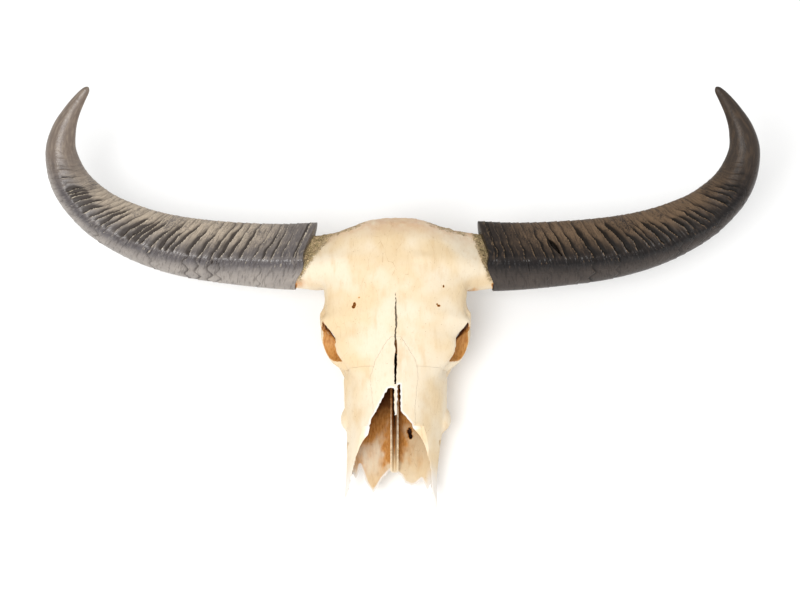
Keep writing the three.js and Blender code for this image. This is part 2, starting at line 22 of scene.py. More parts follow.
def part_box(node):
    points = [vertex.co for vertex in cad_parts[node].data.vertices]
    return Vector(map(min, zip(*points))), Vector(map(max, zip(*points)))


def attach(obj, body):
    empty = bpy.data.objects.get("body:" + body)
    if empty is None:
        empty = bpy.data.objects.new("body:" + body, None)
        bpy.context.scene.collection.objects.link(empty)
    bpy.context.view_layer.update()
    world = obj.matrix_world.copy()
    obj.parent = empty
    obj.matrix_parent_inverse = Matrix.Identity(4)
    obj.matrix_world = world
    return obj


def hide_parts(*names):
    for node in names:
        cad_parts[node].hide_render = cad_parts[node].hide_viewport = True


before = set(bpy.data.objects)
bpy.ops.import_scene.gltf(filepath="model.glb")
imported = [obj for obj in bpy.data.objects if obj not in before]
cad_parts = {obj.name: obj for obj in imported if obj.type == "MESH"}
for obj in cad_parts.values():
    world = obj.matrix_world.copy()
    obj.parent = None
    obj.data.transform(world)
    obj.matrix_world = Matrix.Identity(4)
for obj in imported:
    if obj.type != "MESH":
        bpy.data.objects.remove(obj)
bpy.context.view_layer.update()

LOG = logging.getLogger("skull")
MM = 0.001

# Landmarks along the skull, and the level of the nose's floor
OCCIPUT = 184.0
MUZZLE = -254.0
ORBIT = -20.0
TUBER = -112.0
NOSE_FLOOR = 44.0
GAP = 0.35

# The face leans back from the floor, and what the photo shows is measured up it and out of it
FACE_TILT = math.radians(25.0)
ACROSS = Vector((1.0, 0.0, 0.0))
UP_FACE = Vector((0.0, math.cos(FACE_TILT), math.sin(FACE_TILT)))
OUT_OF_FACE = Vector((0.0, -math.sin(FACE_TILT), math.cos(FACE_TILT)))
FACE = (ACROSS, UP_FACE, OUT_OF_FACE)
PROFILE = (Vector((0.0, 1.0, 0.0)), Vector((0.0, 0.0, 1.0)), ACROSS)

Points = Sequence[Sequence[float]]
Colour = tuple[float, float, float, float]


class Side(Enum):
    """The two sides of the skull, as the viewer sees them."""

    LEFT = -1
    RIGHT = 1

    @property
    def word(self) -> str:
        """The side's name in the names of pieces."""
        return self.name.lower()


# Curves


@dataclass(frozen=True)
class Rail:
    """A line of values along one direction that runs smoothly through its stops and never past them."""

    stops: tuple[tuple[float, float], ...]

    def __call__(self, at: np.ndarray | float) -> np.ndarray:
        """The rail's value.

        Args:
            at: One place or an array of places.

        Returns:
            The values there, held constant beyond the last stops.
        """
        place, value = np.array(self.stops, float).T
        slope = np.diff(value) / np.diff(place)
        before, after = np.r_[slope[0], slope], np.r_[slope, slope[-1]]
        total = np.where(before * after > 0, before + after, 1.0)
        tangent = np.where(before * after > 0, 2 * before * after / total, 0.0)
        at = np.asarray(at, float)
        i = np.clip(np.searchsorted(place, at, side="right") - 1, 0, len(place) - 2)
        width = place[i + 1] - place[i]
        t = np.clip((at - place[i]) / width, 0, 1)
        rise = (1 - t) ** 2 * t * tangent[i] - t**2 * (1 - t) * tangent[i + 1]
        return value[i] + (value[i + 1] - value[i]) * t * t * (3 - 2 * t) + rise * width


def rail(*stops: tuple[float, float]) -> Rail:
    """A rail through the given (place, value) stops."""
    return Rail(tuple(stops))


def _between(p0: np.ndarray, p1: np.ndarray, p2: np.ndarray, p3: np.ndarray, w: np.ndarray) -> np.ndarray:
    """Points between p1 and p2 on a centripetal spline, at share w."""
    d0, d1, d2 = (
        np.maximum(np.linalg.norm(b - a, axis=-1, keepdims=True), 1e-9) ** 0.5
        for a, b in ((p0, p1), (p1, p2), (p2, p3))
    )
    out = ((p1 - p0) / d0 - (p2 - p0) / (d0 + d1) + (p2 - p1) / d1) * d1
    into = ((p2 - p1) / d1 - (p3 - p1) / (d1 + d2) + (p3 - p2) / d2) * d1
    bend = 3 * (p2 - p1) - 2 * out - into
    return p1 + out * w + bend * w**2 + (2 * (p1 - p2) + out + into) * w**3


def closed_spline(corners: np.ndarray, turns: np.ndarray) -> np.ndarray:
    """Points on smooth closed loops.

    Args:
        corners: The corners of each loop, as rows of loops, corners and coordinates.
        turns: Places round the loop, from 0 to 1.

    Returns:
        Rows of loops, points and coordinates.
    """
    count = corners.shape[1]
    place = np.mod(turns, 1.0) * count
    first = np.floor(place).astype(int) % count
    share = (place - np.floor(place))[None, :, None]
    return _between(*(corners[:, (first + k) % count] for k in (-1, 0, 1, 2)), share)


def open_spline(stops: np.ndarray, shares: np.ndarray) -> np.ndarray:
    """Points on a smooth open line.

    Args:
        stops: The points that the line passes through.
        shares: Places along it, from 0 to 1, an equal part for each pair of stops.

    Returns:
        One point for each place.
    """
    held = np.vstack([2 * stops[0] - stops[1], stops, 2 * stops[-1] - stops[-2]])
    spans = len(stops) - 1
    at = np.clip(shares, 0, 1) * spans
    first = np.minimum(at.astype(int), spans - 1)
    return _between(*(held[first + k] for k in range(4)), (at - first)[:, None])


def smoothstep(low: float, high: float, value: np.ndarray) -> np.ndarray:
    """A smooth step from 0 at low to 1 at high."""
    t = np.clip((value - low) / (high - low), 0, 1)
    return t * t * (3 - 2 * t)


def ragged(
    outline: Points, step: float, depth: float, seed: int, closed: bool = True
) -> list[tuple[float, float]]:
    """An outline with a broken edge.

    Args:
        outline: Its corners.
        step: The length of one splinter.
        depth: How far splinters stand out to either side.
        seed: The seed of the random draw.
        closed: Whether the last corner joins the first.

    Returns:
        The outline with the splinters' corners added.
    """
    draw = np.random.default_rng(seed)
    corners = np.array(outline, float)
    ends = np.roll(corners, -1, axis=0) if closed else corners[1:]
    made: list[tuple[float, float]] = []
    for a, b in zip(corners, ends):
        run = float(np.linalg.norm(b - a))
        across = np.array([b[1] - a[1], a[0] - b[0]]) / max(run, 1e-6)
        count = max(int(run / step), 1)
        made.append(tuple(a))
        for k in range(1, count):
            share = (k + draw.uniform(-0.3, 0.3)) / count
            made.append(tuple(a + (b - a) * share + across * draw.uniform(-depth, depth)))
    return made if closed else [*made, tuple(corners[-1])]


def distance_to(line: Points, points: np.ndarray) -> np.ndarray:
    """How far each point lies from a line through the given stops."""
    stops = np.array(line, float)
    nearest = np.full(len(points), np.inf)
    for a, b in zip(stops, stops[1:]):
        run = b - a
        share = np.clip((points - a) @ run / max(run @ run, 1e-9), 0, 1)
        nearest = np.minimum(nearest, np.linalg.norm(points - a - share[:, None] * run, axis=1))
    return nearest


def ribbon(line: Points, width: float) -> list[tuple[float, float]]:
    """The outline of a thin ribbon that follows a line.

    Args:
        line: The points of the line.
        width: The ribbon's width.

    Returns:
        A closed outline, out along one edge and back along the other.
    """
    points = np.array(line, float)
    along = np.gradient(points, axis=0)
    across = np.stack([-along[:, 1], along[:, 0]], axis=1)
    across *= width / 2 / np.linalg.norm(across, axis=1, keepdims=True)
    return [tuple(p) for p in (*(points + across), *(points - across)[::-1])]


# Mesh making


def to_mesh(bm: bmesh.types.BMesh, name: str) -> bpy.types.Mesh:
    """Ends the work on a bmesh and gives its mesh."""
    mesh = bpy.data.meshes.new(name)
    bm.to_mesh(mesh)
    bm.free()
    return mesh


def rolled_grid(
    around: int,
    along: int,
    surface: Callable[[np.ndarray, np.ndarray], np.ndarray],
    name: str,
    marks: dict[str, np.ndarray] | None = None,
) -> bpy.types.Mesh:
    """A grid rolled into a tube on a surface, with closed ends.

    Args:
        around: Faces round the tube.
        along: Faces along it.
        surface: Gives the points for places round the tube and along it, both from 0 to 1.
        name: The mesh's name.
        marks: Values stored at the vertices, as rows of rings and points.

    Returns:
        The closed mesh, with a UV map that counts turns and shares.
    """
    bm = bmesh.new()
    bmesh.ops.create_grid(bm, x_segments=around, y_segments=along, size=0.5, calc_uvs=True)
    flat = np.array([v.co[:2] for v in bm.verts]) + 0.5
    columns, rows = np.rint(flat * (around, along)).astype(int).T
    points = surface(np.linspace(0, 1, around + 1), np.linspace(0, 1, along + 1))[rows, columns]
    for vert, point in zip(bm.verts, points):
        vert.co = point
    for word, values in (marks or {}).items():
        layers = bm.verts.layers.float if values.ndim == 2 else bm.verts.layers.float_vector
        layer = layers.new(word)
        for vert, value in zip(bm.verts, values[rows, columns].tolist()):
            vert[layer] = value
    seam = [v for v, column in zip(bm.verts, columns) if column in (0, around)]
    bmesh.ops.remove_doubles(bm, verts=seam, dist=1e-3)
    rims = [e for e in bm.edges if e.is_boundary]
    caps = bmesh.ops.holes_fill(bm, edges=rims, sides=0)["faces"]
    bmesh.ops.poke(bm, faces=caps)
    bmesh.ops.recalc_face_normals(bm, faces=bm.faces)
    return to_mesh(bm, name)


def bar(stops: Points, around: int, along: int, up: tuple[float, float, float] = (0, 0, 1)) -> bpy.types.Mesh:
    """An oval bar along a smooth path.

    Args:
        stops: Each stop's x, y and z, half width and half height.
        around: Faces round the bar.
        along: Faces along it.
        up: The direction in which the height is measured.

    Returns:
        The closed mesh.
    """
    given = np.array(stops, float)

    def surface(turns: np.ndarray, shares: np.ndarray) -> np.ndarray:
        path, sizes = open_spline(given[:, :3], shares), open_spline(given[:, 3:], shares)
        before, after = (open_spline(given[:, :3], np.clip(shares + step, 0, 1)) for step in (-1e-3, 1e-3))
        run = after - before
        run /= np.linalg.norm(run, axis=1, keepdims=True)
        across = np.cross(run, np.array(up, float))
        across /= np.linalg.norm(across, axis=1, keepdims=True)
        over = np.cross(across, run)
        angle = 2 * math.pi * turns[None, :, None]
        wide, high = sizes[:, 0, None, None], sizes[:, 1, None, None]
        return path[:, None] + across[:, None] * wide * np.cos(angle) + over[:, None] * high * np.sin(angle)

    return rolled_grid(around, along, surface, "bar")


def egg(
    centre: Sequence[float], radii: Sequence[float], turn: Sequence[float] = (0, 0, 0), level: int = 4
) -> bpy.types.Mesh:
    """An egg-shaped solid.

    Args:
        centre: Its middle.
        radii: Its three radii before it is turned.
        turn: The turns about X, Y and Z, in radians.
        level: How often the first twenty faces are split.

    Returns:
        The closed mesh.
    """
    bm = bmesh.new()
    place = Matrix.Translation(centre) @ Euler(turn, "ZYX").to_matrix().to_4x4()
    place = place @ Matrix.Diagonal((*radii, 1.0))
    bmesh.ops.create_icosphere(bm, subdivisions=level, radius=1.0, matrix=place)
    return to_mesh(bm, "egg")


def prism(outline: Points, start: float, end: float, axes: tuple[Vector, Vector, Vector]) -> bpy.types.Mesh:
    """A straight prism.

    Args:
        outline: The corners of its end, in the first two directions.
        start: Where it begins along the third direction.
        end: Where it stops.
        axes: The three directions.

    Returns:
        The closed mesh.
    """
    first, second, third = axes
    bm = bmesh.new()
    corners = [bm.verts.new(first * a + second * b + third * start) for a, b in outline]
    face = bm.faces.new(corners)
    swept = bmesh.ops.extrude_face_region(bm, geom=[face])["geom"]
    lifted = [part for part in swept if isinstance(part, bmesh.types.BMVert)]
    bmesh.ops.translate(bm, verts=lifted, vec=third * (end - start))
    bmesh.ops.triangulate(bm, faces=bm.faces)
    bmesh.ops.recalc_face_normals(bm, faces=bm.faces)
    return to_mesh(bm, "prism")


def joined(meshes: Sequence[bpy.types.Mesh], name: str) -> bpy.types.Mesh:
    """Several meshes as one, without merging anything.

    Args:
        meshes: The meshes, which are used up.
        name: The new mesh's name.

    Returns:
        The new mesh.
    """
    bm = bmesh.new()
    for mesh in meshes:
        bm.from_mesh(mesh)
        bpy.data.meshes.remove(mesh)
    return to_mesh(bm, name)


def modified(
    mesh: bpy.types.Mesh, kind: str, tool: bpy.types.Mesh | None = None, **settings: object
) -> bpy.types.Mesh:
    """The mesh as one modifier leaves it.

    Args:
        mesh: The mesh, which is used up.
        kind: The modifier's type.
        tool: A second mesh that the modifier works with, which is kept.
        **settings: The modifier's fields.

    Returns:
        The new mesh.
    """
    collection = bpy.context.scene.collection
    carriers = [bpy.data.objects.new("carrier", m) for m in (mesh, tool) if m is not None]
    for carrier in carriers:
        collection.objects.link(carrier)
    modifier = carriers[0].modifiers.new("shape", kind)
    for name, value in settings.items():
        setattr(modifier, name, value)
    if tool is not None:
        modifier.object = carriers[1]
    graph = bpy.context.evaluated_depsgraph_get()
    made = bpy.data.meshes.new_from_object(carriers[0].evaluated_get(graph), depsgraph=graph)
    for carrier in carriers:
        bpy.data.objects.remove(carrier)
    bpy.data.meshes.remove(mesh)
    return made


def cut(mesh: bpy.types.Mesh, *tools: bpy.types.Mesh, way: str = "DIFFERENCE") -> bpy.types.Mesh:
    """Cuts a mesh with others in turn.

    Args:
        mesh: The mesh, which is used up.
        *tools: The other closed meshes.
        way: DIFFERENCE takes them away, and INTERSECT keeps what lies inside them.

    Returns:
        The new mesh.
    """
    for tool in tools:
        mesh = modified(mesh, "BOOLEAN", tool, operation=way, solver="MANIFOLD")
    return mesh


def cast(mesh: bpy.types.Mesh, grain: float, rounds: int) -> bpy.types.Mesh:
    """Melts overlapping shells into one even skin and smooths it.

    Args:
        mesh: The mesh, which is used up.
        grain: The size of the new faces.
        rounds: How often the skin is smoothed.

    Returns:
        The new mesh.
    """
    mesh = modified(mesh, "REMESH", mode="VOXEL", voxel_size=grain, adaptivity=0.0)
    return modified(mesh, "SMOOTH", factor=0.5, iterations=rounds)


def soften(mesh: bpy.types.Mesh, chosen: np.ndarray, rounds: int) -> None:
    """Smooths some of a mesh's vertices.

    Args:
        mesh: The mesh.
        chosen: Whether each vertex is smoothed.
        rounds: How often.
    """
    bm = bmesh.new()
    bm.from_mesh(mesh)
    bm.verts.ensure_lookup_table()
    verts = [bm.verts[i] for i in np.flatnonzero(chosen)]
    for _ in range(rounds):
        bmesh.ops.smooth_vert(bm, verts=verts, factor=0.6, use_axis_x=True, use_axis_y=True, use_axis_z=True)
    bm.to_mesh(mesh)
    bm.free()


def loose_parts(mesh: bpy.types.Mesh) -> list[bpy.types.Mesh]:
    """The separate closed bodies of a mesh, the largest first.

    Args:
        mesh: The mesh, which is used up.

    Returns:
        One mesh for each body.
    """
    carrier = bpy.data.objects.new("carrier", mesh)
    bpy.context.scene.collection.objects.link(carrier)
    bpy.ops.object.select_all(action="DESELECT")
    carrier.select_set(True)
    bpy.context.view_layer.objects.active = carrier
    bpy.ops.mesh.separate(type="LOOSE")
    parts = list(bpy.context.selected_objects)
    meshes = [part.data for part in parts]
    for part in parts:
        bpy.data.objects.remove(part)
    return sorted(meshes, key=lambda m: len(m.vertices), reverse=True)


def rows_of_three(source: bpy.types.bpy_prop_collection, word: str) -> np.ndarray:
    """Reads three numbers from each thing in a collection, one row each."""
    found = np.empty(len(source) * 3, np.float32)
    source.foreach_get(word, found)
    return found.reshape(-1, 3).astype(float)


def coordinates(mesh: bpy.types.Mesh) -> np.ndarray:
    """The places of a mesh's vertices, one row each."""
    return rows_of_three(mesh.vertices, "co")


def directions(mesh: bpy.types.Mesh) -> np.ndarray:
    """The outward directions at a mesh's vertices, one row each."""
    return rows_of_three(mesh.vertex_normals, "vector")


def place_vertices(mesh: bpy.types.Mesh, points: np.ndarray) -> None:
    """Moves a mesh's vertices to the given points."""
    mesh.vertices.foreach_set("co", points.astype(np.float32).ravel())
    mesh.update()


def mark(mesh: bpy.types.Mesh, name: str, values: np.ndarray) -> None:
    """Stores one value a vertex under a name that the finishes read."""
    layer = mesh.attributes.new(name, "FLOAT", "POINT")
    layer.data.foreach_set("value", np.clip(values, 0, 1).astype(np.float32))


def face_places(points: np.ndarray) -> np.ndarray:
    """Points as places across, up and out of the face, one row each."""
    return points @ np.array(FACE).T


def ripple(points: np.ndarray, size: float, octaves: int, seed: float) -> np.ndarray:
    """Smooth noise at points, between about -1 and 1.

    Args:
        points: The points, one row each.
        size: The size of the largest ripples.
        octaves: How many finer layers are added, each half the size of the last.
        seed: Shifts the pattern.

    Returns:
        One value a point.
    """
    moved = points / size + seed
    return np.array([noise.fractal(p, 1.0, 2.0, octaves) for p in moved.tolist()])


class Shelter:
    """How far the skull itself hides each place on it from the open air, which sets how much shade is painted
    into its hollows.
    """

    # The size of the coarse copy's faces, the lines of sight from each place, and how far each is followed
    grain = 4.0
    rays = 36
    reach = 110.0
    lift = 1.5
    seed = 5

    def __init__(self, body: bpy.types.Mesh) -> None:
        """Measures a coarse copy of the skull.

        Args:
            body: The whole skull, which is kept.
        """
        coarse = modified(body.copy(), "REMESH", mode="VOXEL", voxel_size=self.grain)
        bm = bmesh.new()
        bm.from_mesh(coarse)
        tree = BVHTree.FromBMesh(bm)
        bm.free()
        points, normals = coordinates(coarse), directions(coarse)
        bpy.data.meshes.remove(coarse)
        fan = np.random.default_rng(self.seed).normal(size=(self.rays, 3))
        fan *= 0.98 / np.linalg.norm(fan, axis=1, keepdims=True)
        self.hidden = []
        self.tree = KDTree(len(points))
        for i, (point, normal) in enumerate(zip(points, normals)):
            start = Vector(point + normal * self.lift)
            sights = (Vector(sight) for sight in (normal + fan).tolist())
            blocked = sum(tree.ray_cast(start, sight, self.reach)[0] is not None for sight in sights)
            self.hidden.append(blocked / self.rays)
            self.tree.insert(point + normal * self.grain, i)
        self.tree.balance()

    def at(self, mesh: bpy.types.Mesh) -> np.ndarray:
        """How hidden each vertex of a mesh is, from 0 to 1."""
        found = coordinates(mesh) + directions(mesh) * self.grain
        nearest = ([i for _, i, _ in self.tree.find_n(place, 5)] for place in found.tolist())
        return np.array([np.mean([self.hidden[i] for i in group]) for group in nearest])


# The skull's form


@dataclass(frozen=True)
class SkullRails:
    """The lines from muzzle to occiput that every cross-section of the skull passes through."""

    crown: Rail = rail(
        (MUZZLE, 112), (-150, 138), (-100, 154), (-70, 162), (-48, 168), (-10, 180), (20, 191), (50, 202),
        (80, 210), (110, 212), (140, 203), (160, 185), (172, 160), (180, 132), (OCCIPUT, 116),
    )
    brow_x: Rail = rail(
        (MUZZLE, 62), (-190, 53), (-150, 48), (TUBER, 50), (-85, 56), (-65, 67), (-48, 81.5), (-38, 88),
        (-27, 90), (ORBIT, 90), (-6, 99), (6, 110), (22, 104), (40, 104), (60, 107), (85, 109), (110, 106),
        (140, 91), (160, 58), (172, 47), (180, 36), (OCCIPUT, 26),
    )
    brow_z: Rail = rail(
        (MUZZLE, 48), (-190, 82), (-150, 112), (TUBER, 125), (-85, 134), (-65, 135), (-48, 137), (ORBIT, 147),
        (6, 148), (25, 153), (60, 164), (85, 171), (110, 175), (140, 174), (160, 163), (172, 143), (180, 124),
        (OCCIPUT, 110),
    )
    waist_x: Rail = rail(
        (MUZZLE, 66), (-190, 64), (-150, 62), (TUBER, 68), (-75, 72), (-55, 72), (ORBIT, 60), (10, 48),
        (35, 44), (60, 54), (90, 68), (110, 82), (140, 86), (160, 79), (172, 64), (180, 50), (OCCIPUT, 36),
    )
    waist_z: Rail = rail(
        (MUZZLE, 45), (-190, 62), (-150, 84), (TUBER, 95), (-55, 110), (10, 114), (35, 118), (90, 124),
        (110, 132), (140, 136), (160, 132), (172, 114), (180, 102), (OCCIPUT, 94),
    )
    flank_x: Rail = rail(
        (MUZZLE, 70), (-190, 68), (-150, 70), (TUBER, 74), (-85, 74), (-53, 75), (-33, 86), (ORBIT, 92),
        (0, 90), (14, 78), (28, 58), (42, 46), (60, 50), (80, 72), (100, 85), (140, 90), (160, 87),
        (172, 78), (180, 62), (OCCIPUT, 42),
    )
    flank_z: Rail = rail(
        (MUZZLE, 42), (-190, 48), (-150, 56), (TUBER, 66), (-53, 92), (ORBIT, 90), (20, 70), (60, 80),
        (110, 87), (160, 92), (172, 89), (180, 82), (OCCIPUT, 76),
    )
    sill_x: Rail = rail(
        (MUZZLE, 62), (-190, 57), (-150, 55), (TUBER, 61), (-50, 67), (-5, 70), (12, 62), (30, 30), (60, 26),
        (80, 36), (110, 52), (140, 56), (172, 50), (OCCIPUT, 34),
    )
    sill_z: Rail = rail(
        (MUZZLE, 38), (-190, 33), (-160, 25), (-5, 23), (14, 30), (35, 50), (60, 55), (110, 56), (172, 62),
        (OCCIPUT, 66),
    )
    keel: Rail = rail(
        (MUZZLE, 38), (-190, 36), (-150, 34), (-5, 34), (14, 42), (35, 58), (60, 56), (110, 49), (150, 46),
        (172, 50), (OCCIPUT, 60),
    )
    lean: Rail = rail((MUZZLE, -8), (-190, -5), (-150, -2.5), (-100, 0), (0, 0))

    # The nasal passage: its farthest reach to a side, its roof and the thickness of the wall outside it
    passage_reach: Rail = rail((-260, 80), (TUBER, 64), (-85, 48), (-60, 35), (-31, 27), (15, 21))
    passage_roof: Rail = rail(
        (-260, 110), (-150, 127), (TUBER, 141), (-85, 149), (-60, 150), (-31, 138), (15, 96)
    )
    wall: float = 9.0

    def section(self, y: np.ndarray) -> np.ndarray:
        """The corners of the cross-sections.

        Args:
            y: The places along the skull.

        Returns:
            Rows of sections, twelve corners and coordinates.
        """
        nose = self.brow_z(y) + 0.8 * (self.crown(y) - self.brow_z(y))
        right = [
            (self.sill_x(y), self.sill_z(y)),
            (self.flank_x(y), self.flank_z(y)),
            (self.waist_x(y), self.waist_z(y)),
            (self.brow_x(y), self.brow_z(y)),
            (0.6 * self.brow_x(y), nose),
        ]
        return self._closed(y, self.keel(y), right, self.crown(y))

    def passage(self, y: np.ndarray) -> np.ndarray:
        """The corners of the nasal passage's cross-sections.

        Args:
            y: The places along the skull.

        Returns:
            Rows of sections, ten corners and coordinates.
        """
        roof, floor = self.passage_roof(y), np.full_like(y, NOSE_FLOOR)
        levels = (floor + 1, floor + 10, floor + 0.42 * (roof - floor), floor + 0.76 * (roof - floor))
        outer = (self.sill_x(y), self.flank_x(y), self.waist_x(y), self.brow_x(y))
        right = [(np.minimum(x - self.wall, self.passage_reach(y)), z) for x, z in zip(outer, levels)]
        return self._closed(y, floor, right, roof)

    def _closed(self, y: np.ndarray, low: np.ndarray, right: list, high: np.ndarray) -> np.ndarray:
        """Closes half sections round both sides and leans them with the snout."""
        nought = np.zeros_like(y)
        half = [(nought, low), *right, (nought, high)]
        loop = half + [(-x, z) for x, z in reversed(right)]
        return np.stack([np.stack([x + self.lean(y), y, z], axis=-1) for x, z in loop], axis=1)


@dataclass(frozen=True)
class Stroke:
    """A low ridge or a shallow groove along a line on both sides of the skull."""

    line: Points
    radius: float
    height: float

    def lift(self, points: np.ndarray) -> np.ndarray:
        """How far the stroke lifts each point.

        Args:
            points: Points on the skull, with the left half mirrored onto the right.

        Returns:
            The height at each point, below zero in a groove.
        """
        return self.height * np.exp(-((distance_to(self.line, points) / self.radius) ** 2))


@dataclass(frozen=True)
class Horn:
    """One horn: where its root lies, the slant of its rim, how far it spreads and how thick it is."""

    side: Side
    root: float
    slant: float
    spread: float
    girth: float

    # Stops of the middle line as reach beyond the root, height up the face, distance out of the face
    line: Points = (
        (0, 167, 90), (56, 167, 84), (117, 171, 76), (180, 178, 69), (242, 191.5, 63), (289, 209, 60),
        (337, 236.5, 58), (376, 278, 60), (391, 325, 66), (386, 357, 72), (374, 383, 79), (359.5, 404.5, 86),
        (345, 422, 92),
    )
    half_width: Rail = rail(
        (0, 51.8), (0.08, 50.2), (0.19, 48.5), (0.3, 47), (0.42, 43.8), (0.51, 40.4), (0.61, 35.6),
        (0.71, 30.6), (0.8, 24.2), (0.86, 19), (0.91, 13.6), (0.957, 9.4), (0.985, 6.4), (1, 3.5),
    )
    slant_fade: Rail = rail((0, 1), (0.55, 0.8), (0.8, 0.2), (1, 0))
    root_section: Points = (
        (1, -0.12), (0.44, 0.4), (-0.12, 0.7), (-0.66, 0.38), (-1, -0.14), (-0.62, -0.56), (0.05, -0.7),
        (0.68, -0.54),
    )
    bend_section: Points = (
        (1, -0.08), (0.42, 0.6), (-0.46, 0.64), (-0.88, 0.28), (-0.98, -0.14), (-0.6, -0.6), (0.05, -0.74),
        (0.7, -0.56),
    )
    tip_section: Points = (
        (1, 0), (0.6, 0.6), (-0.3, 0.78), (-0.86, 0.4), (-0.97, -0.2), (-0.6, -0.62), (0.05, -0.8),
        (0.7, -0.6),
    )
    bend: float = 0.6

    # How far the rim reaches out over the bone in front, and where across the horn
    tongue: float = 7.0
    tongue_place: float = -0.35

    # Rings of the bone core, each as its share along the horn, scale, swell and drop
    core_rings: Points = (
        (-0.2, 1.02, 1.5, 0), (-0.15, 1.0, 1.56, 2), (-0.11, 0.95, 1.58, 4), (-0.075, 0.9, 1.5, 6),
        (-0.045, 0.845, 1.33, 8), (-0.018, 0.8, 1.1, 8), (0.0, 0.79, 1, 8), (0.042, 0.79, 1, 8),
    )

    def __post_init__(self) -> None:
        """Measures the middle line once."""
        stops = np.array([(self.root + reach * self.spread, up, out) for reach, up, out in self.line])
        points = open_spline(stops, np.linspace(0, 1, 2001))
        run = np.r_[0, np.cumsum(np.linalg.norm(np.diff(points, axis=0), axis=1))]
        object.__setattr__(self, "points", points)
        object.__setattr__(self, "run", run)
        object.__setattr__(self, "length", float(run[-1]))

    def _along(self, share: np.ndarray) -> tuple[np.ndarray, np.ndarray]:
        """The points and directions of the middle line at shares of its length."""
        at = np.clip(share, 0, 1) * self.length
        point = np.stack([np.interp(at, self.run, self.points[:, k]) for k in range(3)], axis=-1)
        slope = np.gradient(self.points, self.run, axis=0)
        direction = np.stack([np.interp(at, self.run, slope[:, k]) for k in range(3)], axis=-1)
        return point, direction / np.linalg.norm(direction, axis=-1, keepdims=True)

    def surface(
        self,
        turns: np.ndarray,
        shares: np.ndarray,
        scale: np.ndarray | float = 1.0,
        swell: np.ndarray | float = 1.0,
        drop: np.ndarray | float = 0.0,
        lift: np.ndarray | float = 0.0,
    ) -> np.ndarray:
        """Points on the horn.

        Args:
            turns: Places round it, from the inner edge over the front, 0 to 1.
            shares: Places along it, below 0 inside the head.
            scale: Sizes each ring.
            swell: Thickens each ring out of the face.
            drop: Moves each ring towards the outer edge.
            lift: Raises each point, as rows of rings and points.

        Returns:
            Rows of rings, points and coordinates.
        """
        late = np.clip((shares - self.bend) / (1 - self.bend), 0, 1)[:, None, None]
        early = np.clip(shares / self.bend, 0, 1)[:, None, None]
        sections = (self.root_section, self.bend_section, self.tip_section)
        root, bend, tip = (np.array(section, float) for section in sections)
        corners = root + (bend - root) * early + (tip - bend) * late
        girth = (self.half_width(shares) * self.girth * scale)[:, None]
        ring = closed_spline(corners, turns) * girth[..., None]
        ring *= (1 + lift / np.maximum(np.linalg.norm(ring, axis=-1), 1.0))[..., None]
        inner = ring[..., 0] - np.broadcast_to(drop, shares.shape)[:, None]
        out = ring[..., 1] * np.broadcast_to(swell, shares.shape)[:, None]
        slant = self.slant * self.slant_fade(shares)[:, None] * (1 - inner / girth) / 2
        front = np.clip(1 - np.abs(inner / girth - self.tongue_place) / 0.5, 0, 1) * (out > 0)
        front = front * np.clip(1 - shares / 0.1, 0, 1)[:, None]
        slant -= self.tongue * smoothstep(0, 1, front) * (shares[:, None] > -0.01)
        at = shares[:, None] + slant / self.length
        point, forth = self._along(at)
        point = point + forth * ((at - np.clip(at, 0, 1)) * self.length)[..., None]
        inwards = np.cross(np.array([0.0, 0.0, 1.0]), forth)
        inwards /= np.linalg.norm(inwards, axis=-1, keepdims=True)
        outwards = np.cross(forth, inwards)
        place = point + inwards * inner[..., None] + outwards * out[..., None]
        basis = np.array([ACROSS * self.side.value, UP_FACE, OUT_OF_FACE])
        return place @ basis

    def core(self) -> bpy.types.Mesh:
        """The bone core that grows from the forehead into the sheath."""
        stops = np.array(self.core_rings)

        def surface(turns: np.ndarray, shares: np.ndarray) -> np.ndarray:
            share, scale, swell, drop = open_spline(stops, shares).T
            return self.surface(turns, share, scale, swell, drop)

        return rolled_grid(96, 60, surface, "core")

    def rim_distance(self, points: np.ndarray) -> tuple[np.ndarray, np.ndarray]:
        """How far points on the head lie from the sheath's rim, in millimetres.

        Args:
            points: Points on the skull.

        Returns:
            The distance towards the middle of the head, and the place across the horn from -1 to 1.
        """
        up = face_places(points)[:, 1]
        inner = np.clip((up - self.line[0][1]) / self.half_width(0), -1.1, 1.1)
        rim = self.root + self.slant * (1 - inner) / 2
        return rim - self.side.value * points[:, 0], inner


HORNS = (
    Horn(Side.LEFT, root=119, slant=34, spread=1.0, girth=0.985),
    Horn(Side.RIGHT, root=125, slant=24, spread=1.04, girth=1.025),
)


@dataclass(frozen=True)
class Strut:
    """An oval bar of bone, with the stops of the one on the right."""

    stops: Points
    around: int = 32
    along: int = 24
    up: tuple[float, float, float] = (0, 0, 1)

    def on(self, side: Side) -> bpy.types.Mesh:
        """The bar on one side of the skull."""
        return bar([(side.value * x, *rest) for x, *rest in self.stops], self.around, self.along, self.up)


@dataclass(frozen=True)
class Knob:
    """An egg-shaped swelling of bone, with the place and turns of the one on the right."""

    centre: tuple[float, float, float]
    radii: tuple[float, float, float]
    turn: tuple[float, float, float] = (0, 0, 0)

    def on(self, side: Side) -> bpy.types.Mesh:
        """The swelling on one side of the skull."""
        (x, y, z), (pitch, roll, yaw), s = self.centre, self.turn, side.value
        return egg((s * x, y, z), self.radii, (pitch, s * roll, s * yaw))


@dataclass(frozen=True)
class Plate:
    """An upright plate of bone, with its outline from the side and the place of the one on the right."""

    outline: Points
    middle: float
    thickness: float

    def on(self, side: Side) -> bpy.types.Mesh:
        """The plate on one side of the skull."""
        middle, half = side.value * self.middle, self.thickness / 2
        return prism(self.outline, middle - half, middle + half, PROFILE)


